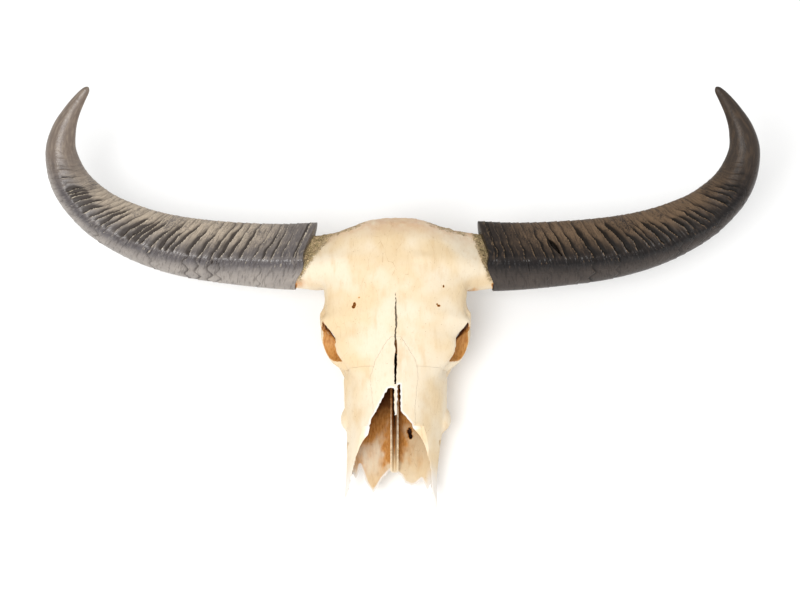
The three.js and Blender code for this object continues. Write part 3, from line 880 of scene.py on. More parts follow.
@dataclass(frozen=True)
class Hole:
    """A small hole for vessels or nerves, placed across, up and out of the face."""

    place: tuple[float, float, float]
    wide: float
    high: float
    deep: float
    # How dark the painted shade at the hole's mouth is
    darkness: float = 0.78

    def tool(self) -> bpy.types.Mesh:
        """The body that cuts the hole."""
        centre = sum((axis * part for axis, part in zip(FACE, self.place)), Vector())
        return egg(centre, (self.wide, self.high, self.deep), (FACE_TILT, 0, 0), 3)

    def shade(self, face: np.ndarray) -> np.ndarray:
        """How much painted shade the hole lays on each point, for places across, up and out of the face."""
        across, up, out = (face - self.place).T
        near = np.hypot(across / self.wide, up / self.high)
        return self.darkness * smoothstep(1.25, 1.0, np.where(np.abs(out) < self.deep + 6, near, 9))


@dataclass
class Bones:
    """The bones of the skull, cast as one body and parted along their seams."""

    rails: SkullRails = SkullRails()
    grain: float = 1.9
    seam_gap: float = 0.22

    # Shells that melt into the skull's wall
    poll_knob: Knob = Knob((0, 172, 128), (20, 11, 14), (-0.5, 0, 0))
    cheek_bar: Strut = Strut(
        (
            (54, -64, 112, 12, 20), (63, -47, 101, 12, 19), (85, -26, 94, 15, 14), (97, -8, 92, 12.5, 12),
            (105, 10, 93, 9, 12), (106, 31, 92, 6, 10), (97, 54, 89, 6, 9), (85, 74, 87, 9, 9),
            (74, 90, 87, 12, 9),
        ),
        along=90,
    )
    orbit_post: Strut = Strut(
        ((104, 15, 92, 8, 5), (108.5, 15, 108, 8, 3.6), (109.5, 14, 124, 9, 3.8), (105, 18, 147, 13, 8)),
        28, 36, (1, 0, 0),
    )
    condyle: Knob = Knob((27, 182, 57), (19, 22, 25), (0.35, 0, 0.5))
    drooping_process: Strut = Strut(
        ((60, 156, 92, 12, 18), (59, 161, 58, 9, 17), (55, 163, 28, 6, 12), (50, 160, 2, 4, 7)),
        32, 40, (0, 1, 0),
    )
    ear_bulb: Knob = Knob((40, 112, 50), (13, 20, 16), (0, 0.3, 0))
    base_knob: Knob = Knob((13, 142, 46), (9, 18, 8))
    ear_passage: Strut = Strut(((66, 114, 80, 12, 11), (84, 119, 82, 9, 9), (91, 120, 82, 7.5, 7.5)), 28, 20)
    hooked_plate: Plate = Plate(
        ((-12, 36), (14, 30), (34, 26), (46, 34), (44, 44), (58, 58), (60, 74), (0, 74)), 21.5, 5.0
    )
    cheek_knob: Knob = Knob((63, TUBER - 4, 62), (19.5, 21, 19), (0, 0, 0.1))
    tooth_ridge: Strut = Strut(((58, -2, 34, 14, 9), (57, -70, 32, 14, 9), (47, -146, 34, 10, 8)), 24, 60)
    horn_root: Strut = Strut(((62, 52, 146, 30, 30), (84, 62, 150, 20, 22), (106, 74, 146, 9, 12)))
    brow_bar: Strut = Strut(((93, 60, 150, 20, 17), (89, 49, 143, 18.5, 17), (96, 20, 141, 15, 12)))
    growths: tuple[Strut | Knob | Plate, ...] = (
        cheek_bar, orbit_post, condyle, drooping_process, ear_bulb, base_knob, ear_passage, hooked_plate,
        cheek_knob, tooth_ridge, horn_root, brow_bar,
    )

    # Smooth hollows
    passage_stations: tuple[float, ...] = (-260, -226, -190, -165, -140, TUBER, -85, -60, -31, -8, 15)
    throat: Strut = Strut(
        ((0, -40, 64, 18, 17), (0, 10, 60, 17, 17), (0, 44, 44, 16, 16), (0, 70, 20, 16, 16)), 40, 60
    )
    spine_hole: Strut = Strut(((0, 128, 74, 17, 15), (0, 165, 72, 18, 16), (0, 220, 72, 21, 18)), 48, 20)
    eye_socket: Knob = Knob((104, ORBIT, 119), (54, 29, 25), (0, 0.12, -0.16))
    ear_hole: Strut = Strut(((100, 121, 82, 4, 4), (76, 118, 82, 4, 4)), 20, 4)
    cheek_hole: Strut = Strut(((86, -168, 58, 4, 6), (64, -152, 64, 4, 6)), 20, 4)

    # Broken edges and openings of the face, as places across it and up it
    nostrils: Points = (
        (-2, -28), (-6.4, -27), (-10.8, -28), (-16.6, -38), (-25.4, -56), (-31, -66), (-36, -75), (-42, -104),
        (-47, -118), (-47, -290), (40, -290), (40, -122), (36, -114), (29, -104), (24.3, -80), (20, -74.6),
        (15.5, -68.7), (9.7, -63), (7.8, -60), (7.2, -22), (3.4, -23), (2.2, -66), (-1, -67),
    )
    palate_edge: Points = (
        (-77, -290), (-77, -196), (-72, -190), (-66, -160), (-63, -158), (-59, -165), (-56, -160),
        (-53, -146), (-49, -156), (-43, -172), (-33.5, -186), (-26, -176), (-20, -166), (-12.5, -158),
        (-7, -153), (4, -158), (9, -162), (14, -171), (24, -175.5), (30.5, -173.5), (39, -166), (48, -181),
        (52.5, -172), (58, -205), (60.5, -209), (60.5, -290),
    )
    orbit_left: Points = (
        (108, 69.5), (101, 59.5), (93, 46.5), (89, 44), (88, 38), (90.5, 33), (91.3, 29.5), (89.5, 22),
        (87.5, 17), (93, 19.5), (99.3, 25.5), (106, 35.5), (108.5, 46.7), (109.2, 60.5), (109.2, 66),
    )
    orbit_right: Points = (
        (108.5, 66), (103, 57), (96.5, 45), (91.5, 42), (90, 32), (88, 20), (86, 11), (92, 13), (98, 19),
        (104, 30.5), (108.6, 50.5), (109.6, 61),
    )
    orbit_slot: Points = ((107.6, 68), (101.5, 59.4), (99, 55), (105, 50), (108.6, 57), (109, 65))
    orbit_spare: Points = ((98, 40), (95, 27), (97, 20), (104, 13), (132, 8), (132, 50), (108, 54))
    crack: Points = (
        (-0.3, 112), (0.5, 100), (-0.6, 96), (-0.9, 80), (0.4, 62), (-1.2, 56), (-1.6, 38), (0.2, 28),
        (-1.4, 18), (-1.5, 6), (-1.9, -6), (-1.6, -22), (1.4, -22), (1.6, -8), (2.3, 4), (2.2, 18), (3.0, 26),
        (2.6, 36), (1.4, 44), (1.0, 56), (2.8, 64), (2.6, 78), (1.4, 92), (1.1, 104),
    )

    # The slope that takes away the front of the snout, from the side
    rostral_slope: Points = ((-148, 118), (-172, 92), (-236, 48), (-262, 38), (-262, 190), (-148, 190))

    holes: tuple[Hole, ...] = (
        Hole((-60.2, 94, 163), 2.3, 3.6, 14), Hole((-61.8, 90.6, 163), 2.6, 2.6, 13),
        Hole((-53.5, 104, 168), 1.5, 1.3, 9), Hole((64, 92.3, 163), 2.6, 1.7, 12),
        Hole((61.4, 94.6, 163), 1.5, 1.2, 10), Hole((71, 121, 160), 1.4, 2.0, 16),
        Hole((21.5, -98, 99), 3.8, 5.4, 9, 1.0), Hole((22.8, -105, 99), 2.8, 4.0, 9, 1.0),
        Hole((-22, -60, 172), 1.2, 1.0, 4),
    )

    # Low ridges of the bone, and grooves where the height is below zero
    strokes: tuple[Stroke, ...] = (
        Stroke(((62, 24, 190), (60, 0, 184), (57, -26, 178), (52, -50, 170)), 5, -0.9),
        Stroke(((66, -112, 66), (70, -90, 78), (72, -66, 92)), 10, 3.4),
        Stroke(((0, 166, 152), (30, 164, 148), (58, 148, 130), (66, 140, 104)), 6, 2.4),
        Stroke(((64, -80, 118), (66, -66, 120)), 17, -3.0),
        Stroke(((30, 180, 128), (34, 183, 110)), 14, -4.0),
        Stroke(((0, 182, 118), (0, 186, 96)), 5, 2.5),
        Stroke(((104, -66, 132), (98, -40, 146), (104, -14, 152), (112, 8, 150)), 6, 1.6),
        Stroke(((0, -150, 134), (0, -60, 164), (0, 0, 184)), 16, 1.2),
        Stroke(((24, -140, 130), (26, -80, 152), (24, -30, 168)), 7, -0.8),
        Stroke(((0, -140, 33), (0, -10, 33)), 4, 1.2),
    )

    # Seams on the face for the nasal bones, with the inner upper corner first and the seed of the splinters
    nasals: tuple[tuple[Side, Points, int], ...] = (
        (
            Side.LEFT,
            (
                (1, 47), (-6, 47), (-13, 40), (-20, 28), (-29, 13), (-33, 0), (-37, -12), (-33, -50),
                (-30, -112),
            ),
            21,
        ),
        (
            Side.RIGHT,
            ((1.2, 47), (7, 47), (13, 40), (20, 28), (29, 13), (32, 0), (33, -12), (29, -50), (29, -112)),
            22,
        ),
    )
    nasal_depth: float = 17.0
    nasal_stations: tuple[float, ...] = (-31, -100, -170)

    # The cheekbone's seam on the face, its upper edge from the side, and the seam behind the upper jaw
    cheek_seam: Points = ((75, -14), (82, 18), (90, 46), (92, 73))
    cheek_roof: Points = ((-70, 92), (-45, 80), (-15, 76), (50, 76))
    jaw_seam: Points = (
        (-76, 200), (-72, 165), (-64, 140), (-60, 116), (-52, 100), (-30, 82), (-12, 66), (4, 58), (20, 52),
        (70, 48),
    )

    def _shells(self) -> list[bpy.types.Mesh]:
        """The overlapping shells that melt into the skull."""

        def form(turns: np.ndarray, shares: np.ndarray) -> np.ndarray:
            bent = shares + 0.02 * np.sin(2 * np.pi * shares)
            return closed_spline(self.rails.section(MUZZLE + (OCCIPUT - MUZZLE) * bent), turns)

        shells = [rolled_grid(168, 220, form, "form"), *(horn.core() for horn in HORNS)]
        shells.append(self.poll_knob.on(Side.RIGHT))
        return shells + [growth.on(side) for side in Side for growth in self.growths]

    def _hollows(self) -> list[bpy.types.Mesh]:
        """The nasal passage, the sockets of the eyes and the smooth holes at the back."""
        stations = np.array(self.passage_stations, float)

        def passage(turns: np.ndarray, shares: np.ndarray) -> np.ndarray:
            y = np.interp(shares, np.linspace(0, 1, len(stations)), stations)
            return closed_spline(self.rails.passage(y), turns)

        middle = [tool.on(Side.RIGHT) for tool in (self.throat, self.spine_hole)]
        sides = [tool.on(side) for side in Side for tool in (self.eye_socket, self.ear_hole)]
        return [rolled_grid(80, 160, passage, "passage"), *middle, *sides]

    @staticmethod
    def _soften_shoulders(mesh: bpy.types.Mesh) -> None:
        """Lets the forehead flow into the horn cores."""
        points = coordinates(mesh)
        _, up, out = face_places(points).T
        for inset, rounds in ((0, 30), (5, 40), (10, 40)):
            chosen = (np.abs(points[:, 0]) > 46 + inset) & (out > 84 + inset) & (up > 84 + inset)
            for horn in HORNS:
                away, _ = horn.rim_distance(points)
                chosen &= away > 5 + inset / 2
            soften(mesh, chosen, rounds)

    def _sculpt(self, mesh: bpy.types.Mesh) -> None:
        """Adds the low ridges, the grooves and the uneven surface of weathered bone."""
        points, normals = coordinates(mesh), directions(mesh)
        half = np.column_stack([np.abs(points[:, 0]), points[:, 1:]])
        lift = sum(stroke.lift(half) for stroke in self.strokes)
        lift = lift + 0.9 * ripple(points, 60, 2, 3.1) + 0.28 * ripple(points, 9, 2, 7.7)
        crest = smoothstep(128, 158, points[:, 1]) * smoothstep(140, 165, points[:, 2])
        lift += crest * (0.9 * ripple(points, 11, 3, 1.3) + 0.5 * ripple(points, 4.5, 1, 5.2))
        for horn in HORNS:
            lift += self._rim_grit(horn, points) * (1.1 * ripple(points, 5.5, 2, 9.4) - 0.4)
        place_vertices(mesh, points + normals * lift[:, None])

    def _breaks(self) -> list[bpy.types.Mesh]:
        """The broken front of the snout, the crack between the foreheads, and the small holes of the face."""
        tools = [
            prism(ragged(self.nostrils, 2.8, 0.9, seed=11), 142, 280, FACE),
            prism(ragged(self.palate_edge, 3.0, 0.8, seed=12), 20, 200, FACE),
            prism(self.rostral_slope, -110, 110, PROFILE),
            prism(ragged(self.crack, 2.6, 0.55, seed=13), 150, 240, FACE),
            *(hole.tool() for hole in self.holes),
        ]
        for side, window in ((Side.LEFT, self.orbit_left), (Side.RIGHT, self.orbit_right)):
            outlines = (window, self.orbit_slot, self.orbit_spare)
            rim, slot, spare = ([(side.value * x, up) for x, up in outline] for outline in outlines)
            tools.append(prism(ragged(rim, 3.5, 0.7, seed=14 + side.value), 117, 200, FACE))
            tools.append(prism(slot, 99, 200, FACE))
            tools.append(prism(spare, 117, 200, FACE))
            tools.append(self.cheek_hole.on(side))
        return tools

    def _nasal_zone(self, side: Side, line: Points, seed: int, grown: float) -> bpy.types.Mesh:
        """One nasal bone's zone, larger all round by the last value."""
        shift = side.value * grown
        (inner, top), *seam = line
        edge = [(x + shift, up + grown / 2) for x, up in ragged(seam, 2.4, 0.7, seed, closed=False)]
        outline = [(inner - shift, top + grown), *edge, (inner - shift, line[-1][1])]
        stations = (grown, *self.nasal_stations)
        depth = [(y, float(self.rails.crown(y)) - self.nasal_depth - grown) for y in stations]
        slab = prism([*depth, (stations[-1], 260), (grown, 260)], -60, 60, PROFILE)
        return cut(prism(outline, 100, 260, FACE), slab, way="INTERSECT")

    def _cheek_zone(self, side: Side, grown: float) -> bpy.types.Mesh:
        """One cheekbone's zone, larger all round by the last value."""
        s, far = side.value, side.value * 134
        seam = ragged([(s * x, up) for x, up in self.cheek_seam], 4.0, 0.5, 23 + s, closed=False)
        low, high = self.cheek_seam[0][1], self.cheek_seam[-1][1]
        outline = [(far, low - grown), *((x - s * grown, up) for x, up in seam), (far, high + grown)]
        roof = [(y, z - grown) for y, z in self.cheek_roof]
        slab = prism([*roof, (50, 150), (-70, 150)], -140, 140, PROFILE)
        return cut(prism(outline, 30, 110, FACE), slab, way="INTERSECT")

    def _zones(self) -> dict[str, tuple[bpy.types.Mesh, ...]]:
        """The nasal bones and cheekbones, each as a zone to keep and a slightly larger one to take away."""
        sizes = (0.0, self.seam_gap)
        zones = {
            f"nasal_{side.word}": tuple(self._nasal_zone(side, line, seed, grown) for grown in sizes)
            for side, line, seed in self.nasals
        }
        for side in Side:
            zones[f"zygomatic_{side.word}"] = tuple(self._cheek_zone(side, grown) for grown in sizes)
        return zones

    def _seams(self) -> list[bpy.types.Mesh]:
        """The thin gaps between the upper jaws and behind them."""
        behind = ribbon(ragged(self.jaw_seam, 4.5, 0.7, 31, closed=False), self.seam_gap)
        midline = ribbon(ragged(((0, -300), (0, 20)), 5.0, 0.5, 32, closed=False), self.seam_gap)
        return [prism(behind, -140, 140, PROFILE), prism(midline, 0, 56, (ACROSS, *PROFILE[:2]))]

    @staticmethod
    def _rim_grit(horn: Horn, points: np.ndarray) -> np.ndarray:
        """Where bone beside a sheath is rough and pitted, 1 at the rim and 0 on smooth bone."""
        away, inner = horn.rim_distance(points)
        width = 13 + (34 if horn.side is Side.LEFT else 9) * smoothstep(-0.6, 0.9, inner)
        front = smoothstep(60, 90, points[:, 1]) * smoothstep(105, 130, points[:, 2])
        return smoothstep(1.0, 0.3, away / width) * front * smoothstep(-0.98, -0.72, inner)

    @staticmethod
    def _crest_grit(points: np.ndarray, up: np.ndarray) -> np.ndarray:
        """Where grit clings to the upper edge of the forehead, beside the horns."""
        column = np.clip((points[:, 0] + 130) / 4, 0, 64).astype(int)
        top = np.full(65, -np.inf)
        np.maximum.at(top, column, up)
        below = top[column] - up + 4 * ripple(points, 7, 2, 8.8)
        out = np.abs(points[:, 0])
        strip = smoothstep(9, 3, below) * smoothstep(36, 56, out) * smoothstep(118, 100, out)
        return 0.62 * strip * smoothstep(60, 80, points[:, 1])

    def _socket_shade(
        self, side: Side, points: np.ndarray, normals: np.ndarray, up: np.ndarray
    ) -> np.ndarray:
        """How golden and dark the wall of one eye socket is painted, from the directions that face into it:
        partly stained bone and partly painted shade, stronger higher up.
        """
        x, y, z = self.eye_socket.centre
        inwards = np.array((side.value * x, y, z)) - points
        inside = np.linalg.norm(inwards / (58, 38, 30), axis=1)
        facing = (normals * inwards).sum(axis=1) / np.maximum(np.linalg.norm(inwards, axis=1), 1)
        deeper_above = np.interp(up, (15, 75), (0.7, 0.86))
        return smoothstep(1.24, 1.12, inside) * smoothstep(0.35, 0.62, facing) * deeper_above

    @staticmethod
    def _passage_shade(points: np.ndarray, normals: np.ndarray, out: np.ndarray) -> np.ndarray:
        """How golden the floor of the nose is painted, most of all in ragged strips beside the vomer and on
        the left: partly stained bone and partly painted shade.
        """
        x, y, z = points.T
        floor = smoothstep(66, 58, z) * smoothstep(0.2, 0.5, normals[:, 2]) * (out < 130)
        reach = np.abs(x + 1.5) + 7 * ripple(points, 16, 2, 4.4)
        strips = smoothstep(32, 9, reach) * smoothstep(-212, -168, y + 9 * ripple(points, 13, 2, 2.2))
        return floor * np.maximum(0.7 * strips, 0.47 * smoothstep(-3, -13, x))

    def _broken(self, points: np.ndarray, flat: np.ndarray) -> np.ndarray:
        """Where the front of the snout is broken or worn thin."""
        y = points[:, 1]
        upper, lower = distance_to(self.nostrils, flat), distance_to(self.palate_edge, flat)
        edge = smoothstep(4.5, 0.6, np.where(points[:, 2] > 60, upper, lower)) * smoothstep(-60, -90, y)
        return np.maximum(edge, smoothstep(-160, -235, y) * smoothstep(44, 56, np.abs(points[:, 0] + 5)))

    def _mark(self, mesh: bpy.types.Mesh, shelter: Shelter) -> None:
        """Stores where a bone is stained, where shade is painted into its hollows, and where it is gritty,
        broken or part of the poll.
        """
        points, normals = coordinates(mesh), directions(mesh)
        face = face_places(points)
        _, up, out = face.T
        # The hollow mark is painted shade: how sheltered each place is, the sockets and the nose's floor,
        # where golden stain is mixed in, and the small holes
        shades = [shelter.at(mesh), self._passage_shade(points, normals, out)]
        shades += [self._socket_shade(side, points, normals, up) for side in Side]
        shades += [hole.shade(face) for hole in self.holes]
        grit = [self._crest_grit(points, up), sum(self._rim_grit(horn, points) for horn in HORNS)]
        stain = 0 * up
        for horn in HORNS:
            away, inner = horn.rim_distance(points)
            # Painted shadow in the gap under the lower edge of each sheath's rim
            shades.append(smoothstep(3.2, 1.4, away) * smoothstep(-0.72, -0.85, inner))
            if horn.side is Side.LEFT:
                stain += smoothstep(18, 5, away) * smoothstep(-0.6, -0.88, inner) * smoothstep(80, 100, out)
        mark(mesh, "stain", stain)
        mark(mesh, "hollow", np.max(shades, axis=0))
        mark(mesh, "grit", np.max(grit, axis=0))
        mark(mesh, "broken", self._broken(points, face[:, :2]))
        mark(mesh, "poll", smoothstep(108, 150, points[:, 1]) * smoothstep(108, 158, points[:, 2]))

    def build(self) -> dict[str, bpy.types.Mesh]:
        """Casts the skull and parts it into its bones.

        Returns:
            A mesh for each bone by its name, in millimetres.
        """
        body = cast(joined(self._shells(), "shells"), self.grain, 2)
        LOG.info("shells cast: %d faces", len(body.polygons))
        self._soften_shoulders(body)
        body = cut(body, *self._hollows())
        body = cast(body, self.grain, 3)
        self._sculpt(body)
        LOG.info("hollows cut and surface worked: %d faces", len(body.polygons))
        body = cut(body, *self._breaks())
        shelter = Shelter(body)
        LOG.info("shelter measured at %d places", len(shelter.hidden))
        bones: dict[str, bpy.types.Mesh] = {}
        for name, (kept, taken) in self._zones().items():
            bones[name] = loose_parts(cut(body.copy(), kept, way="INTERSECT"))[0]
            body = cut(body, taken)
        body = cut(body, *self._seams())
        parts = loose_parts(body)[:3]
        jaws = sorted(parts[1:], key=lambda m: coordinates(m)[:, 0].mean())
        bones.update(cranium=parts[0], maxilla_left=jaws[0], maxilla_right=jaws[1])
        for mesh in bones.values():
            self._mark(mesh, shelter)
        return bones


@dataclass
class Teeth:
    """One row of cheek teeth, from the large back molar to the small front premolar."""

    side: Side
    back: float = 2.0
    length: float = 150.0
    front: float = 47.0
    rear: float = 60.0
    shares: tuple[float, ...] = (0.215, 0.205, 0.18, 0.14, 0.135, 0.125)

    def build(self) -> bpy.types.Mesh:
        """Makes the row.

        Returns:
            Six closed columns in one mesh, in millimetres.
        """
        row, necks = [], []
        end = self.back
        for share in self.shares:
            length = share * self.length
            middle = end - length / 2
            t = (self.back - middle) / self.length
            x = self.rear + (self.front - self.rear) * t + 3 * math.sin(math.pi * t) - 1
            row.append(self._tooth(self.side.value * x, middle, length, 25 - 8 * t))
            end -= length
            necks.append(end)
        teeth = joined(row, f"teeth_{self.side.word}")
        points = coordinates(teeth)
        between = np.min([np.abs(points[:, 1] - neck) for neck in necks], axis=0)
        mark(teeth, "stain", smoothstep(7, 26, points[:, 2]))
        # Painted shade between neighbouring teeth
        mark(teeth, "hollow", smoothstep(4.2, 1.2, between) * 0.62)
        return teeth

    def _tooth(self, x: float, y: float, length: float, width: float) -> bpy.types.Mesh:
        """A two-lobed column with a flat wear face on the floor."""

        def surface(turns: np.ndarray, shares: np.ndarray) -> np.ndarray:
            angle = 2 * np.pi * turns[None]
            height = np.interp(shares, (0, 0.03, 0.2, 1), (0, 1.2, 10, 44))[:, None]
            swell = np.interp(shares, (0, 0.03, 0.3, 1), (0.86, 0.92, 1.0, 0.93))[:, None]
            fold = 1 - 0.17 * np.cos(angle) ** 4 - 0.04 * np.cos(3 * angle) ** 2
            wide = 0.5 * width * np.cos(angle) * fold * swell
            run = 0.49 * length * np.sign(np.sin(angle)) * np.abs(np.sin(angle)) ** 0.7 * swell
            return np.stack([x + wide, y + run, height + 0 * angle], axis=-1)

        return rolled_grid(48, 24, surface, "tooth")


@dataclass
class Vomer:
    """The trough-shaped bone that stands on the palate along the midline."""

    front: float = -194.0
    back: float = -6.0
    middle: float = -1.5
    half_width: float = 6.0
    foot: float = NOSE_FLOOR + GAP
    top: Rail = rail((-194, 52), (-180, 60), (-150, 68), (-60, 76), (-6, 78))
    wall: float = 1.7

    def build(self) -> bpy.types.Mesh:
        """Makes the bone, with two thin walls and worn upper edges.

        Returns:
            The closed mesh, in millimetres.
        """

        def surface(turns: np.ndarray, shares: np.ndarray) -> np.ndarray:
            y = self.front + (self.back - self.front) * shares
            dips = ((noise.noise((v / 7, 0, 4)), noise.noise((v / 2.4, 0, 9))) for v in y)
            worn = np.array([1.6 * wide + 0.9 * fine for wide, fine in dips])
            top, base, even, half = self.top(y) + worn, np.full_like(y, self.foot), 0 * y, self.half_width
            thin = self.wall + 0.5 * worn / 2
            walls = [
                (-half + even, top - 0.6), (-half + thin, top), (-0.8 + even, base + 4),
                (0.8 + even, base + 4), (half - thin, top), (half + even, top - 0.6), (3 + even, base),
                (-3 + even, base),
            ]
            corners = [np.stack([self.middle + x, y, z], axis=-1) for x, z in (*walls, walls[0])]
            loop = np.stack(corners, axis=1)
            place = turns * len(walls)
            first = np.minimum(place.astype(int), len(walls) - 1)
            share = (place - first)[None, :, None]
            return loop[:, first] * (1 - share) + loop[:, first + 1] * share

        turns, shares = np.linspace(0, 1, 49), np.linspace(0, 1, 181)
        # Painted shade for the hollow mark: dark at the trough's floor and the outer feet, paler on the upper
        # edges, and darker towards the back
        hidden = np.interp(turns * 8, range(9), (0.5, 0.5, 0.95, 0.95, 0.32, 0.5, 0.75, 0.9, 0.5))
        inner = np.interp(shares, (0, 0.12, 0.26, 0.4, 0.6, 1), (-0.85, -0.6, -0.22, -0.05, 0.14, 0.24))
        marks = {"hollow": np.clip(hidden[None] + inner[:, None], 0, 1)}
        return rolled_grid(48, 180, surface, "vomer", marks)


class Keratin:
    """The outer surface of one sheath, as heights and marks in rows of rings and points."""

    def __init__(self, sheath: "Sheath", turns: np.ndarray, shares: np.ndarray) -> None:
        """Starts with an even surface.

        Args:
            sheath: The sheath.
            turns: Places round the horn.
            shares: Places along it.
        """
        self.sheath = sheath
        self.shares = shares[:, None]
        self.places = sheath.places(turns, shares)
        self.run = self.places[..., 2]
        self.u = turns[None] + 0 * self.run
        self.upper = sheath.upper(self.u)
        self.lower = smoothstep(0.22, 0.27, self.u) * smoothstep(0.56, 0.5, self.u)
        self.behind = smoothstep(0.5, 0.6, self.u) * smoothstep(1.0, 0.93, self.u)
        self.crumble = ripple(self.places.reshape(-1, 3), 5.0, 3, sheath.seed).reshape(self.u.shape)
        self.height, self.groove, self.edge = (0 * self.u for _ in range(3))

    def rim(self) -> None:
        """Marks the pale line beside the rim, a worn lip that is partly a painted highlight, and the shallow
        groove, whose dark colour is painted shade.
        """
        wave = 0.7 * np.sin(14 * self.u)
        line = np.exp(-((self.run - 7.5 - wave - 0.6 * self.crumble) ** 2))
        self.edge += line * (0.35 + 0.4 * self.upper)
        self.groove += smoothstep(3.2, 0.0, np.abs(self.run - 10.5 - wave)) * 0.5 * self.upper

    def ridge(self) -> None:
        """Raises the ridge along the front, wrinkled across, with pale spots along its crest that are given
        as worn spots and stand in for glints, a painted highlight.
        """
        seed, runs = self.sheath.seed, self.run[:, 0].tolist()
        wrinkle = np.array([noise.fractal((v / 2.6, 0.0, seed), 1.0, 2.0, 3) for v in runs])[:, None]
        spots = np.array([noise.noise((v / 22, 3.0, seed)) for v in runs])[:, None]
        # Pale spots along the ridge crest, given as wear, that stand in for glints: painted highlight
        worn = smoothstep(0.02, 0.3, wrinkle) * smoothstep(-0.15, 0.15, spots)
        worn = worn * smoothstep(0.8, 0.6, self.shares)
        self.edge += np.exp(-(((self.u - 0.25 - 0.1 * spots) / 0.016) ** 2)) * worn
        keel = np.exp(-(((self.u - 0.25) / 0.042) ** 2)) * smoothstep(0.75, 0.5, self.shares)
        band = np.exp(-(((self.u - 0.275) / 0.06) ** 2))
        rough = 1.5 * band * wrinkle + 0.25 * self.crumble * self.upper
        self.height += 2.4 * keel + rough * smoothstep(0.85, 0.6, self.shares)

    def ring(self, draw: np.random.Generator, at: float) -> None:
        """Cuts one growth ring, shallow all round and deep in a crescent on the upper face.

        Args:
            draw: Gives the ring's random sizes.
            at: Its place along the horn in millimetres.
        """
        sheath, u = self.sheath, self.u
        share = at / sheath.horn.length
        fade = float(sheath.fade(share))
        first, peak = draw.uniform(0.02, 0.13), draw.uniform(0.14, 0.2)
        strong = draw.uniform(0.1, 1.0) * float(sheath.crescent(share)) * fade
        arc = smoothstep(first, peak, u) * smoothstep(0.25, 0.215, u)
        waves = (2, 3, 5, 9, 14)
        wave = sum(draw.uniform(0.2, 0.8) * np.sin(2 * np.pi * (k * u + draw.uniform(0, 1))) for k in waves)
        lean = float(sheath.shift(share)) * (smoothstep(0.0, 0.23, u) * smoothstep(0.5, 0.25, u)) ** 1.5
        zigzag = self.lower * 3.0 * np.sin(2 * np.pi * (u * 9 + draw.uniform(0, 1)))
        past = self.run - at - lean * draw.uniform(0.9, 1.1) - wave - zigzag - 0.4 * self.crumble
        depth = fade * (float(sheath.line_depth(share)) * self.upper + 0.5 * self.behind)
        depth = depth + self.lower * fade * max(draw.uniform(-0.4, 1.1), 0.0)
        depth = depth + strong * arc * (1 + 0.5 * self.crumble)
        width = float(sheath.recovery(share)) * draw.uniform(0.7, 1.3)
        beyond = np.maximum(past, 0)
        fall = np.exp(-beyond / width) * (1 - np.exp(-beyond / 0.5))
        lip = np.exp(-((np.minimum(past, 0) / 2.4) ** 2)) * (past <= 0)
        self.height += 0.4 * np.minimum(depth, 2.2) * lip - depth * fall
        # The groove mark paints shade into the fall behind the lip; the edge mark makes the lip pale, partly
        # wear and partly a painted highlight
        self.groove += fall * np.minimum(depth / 2.6, 1)
        self.edge += lip * np.minimum(depth / 1.5, 1)

    def split(self, round_place: float, at: float) -> None:
        """Opens a split between the layers.

        Args:
            round_place: Its place round the horn in millimetres.
            at: Its place along the horn in millimetres.
        """
        half_length, half_width, depth = 15, 3.6, 7.5
        across, along = 270 * self.u - round_place, self.run - at
        end, side = (0.95 * across + 0.31 * along) / half_length, 0.95 * along - 0.31 * across
        open_by = np.maximum(half_width * (1 - end * end) * (1 - 0.55 * end), 1e-3)
        gap = smoothstep(1.25, 0.6, np.abs(side) / open_by) * (np.abs(end) < 1)
        self.height -= depth * gap
        # Painted shade inside the open split
        self.groove = np.maximum(self.groove, gap)
        self.edge *= 1 - gap


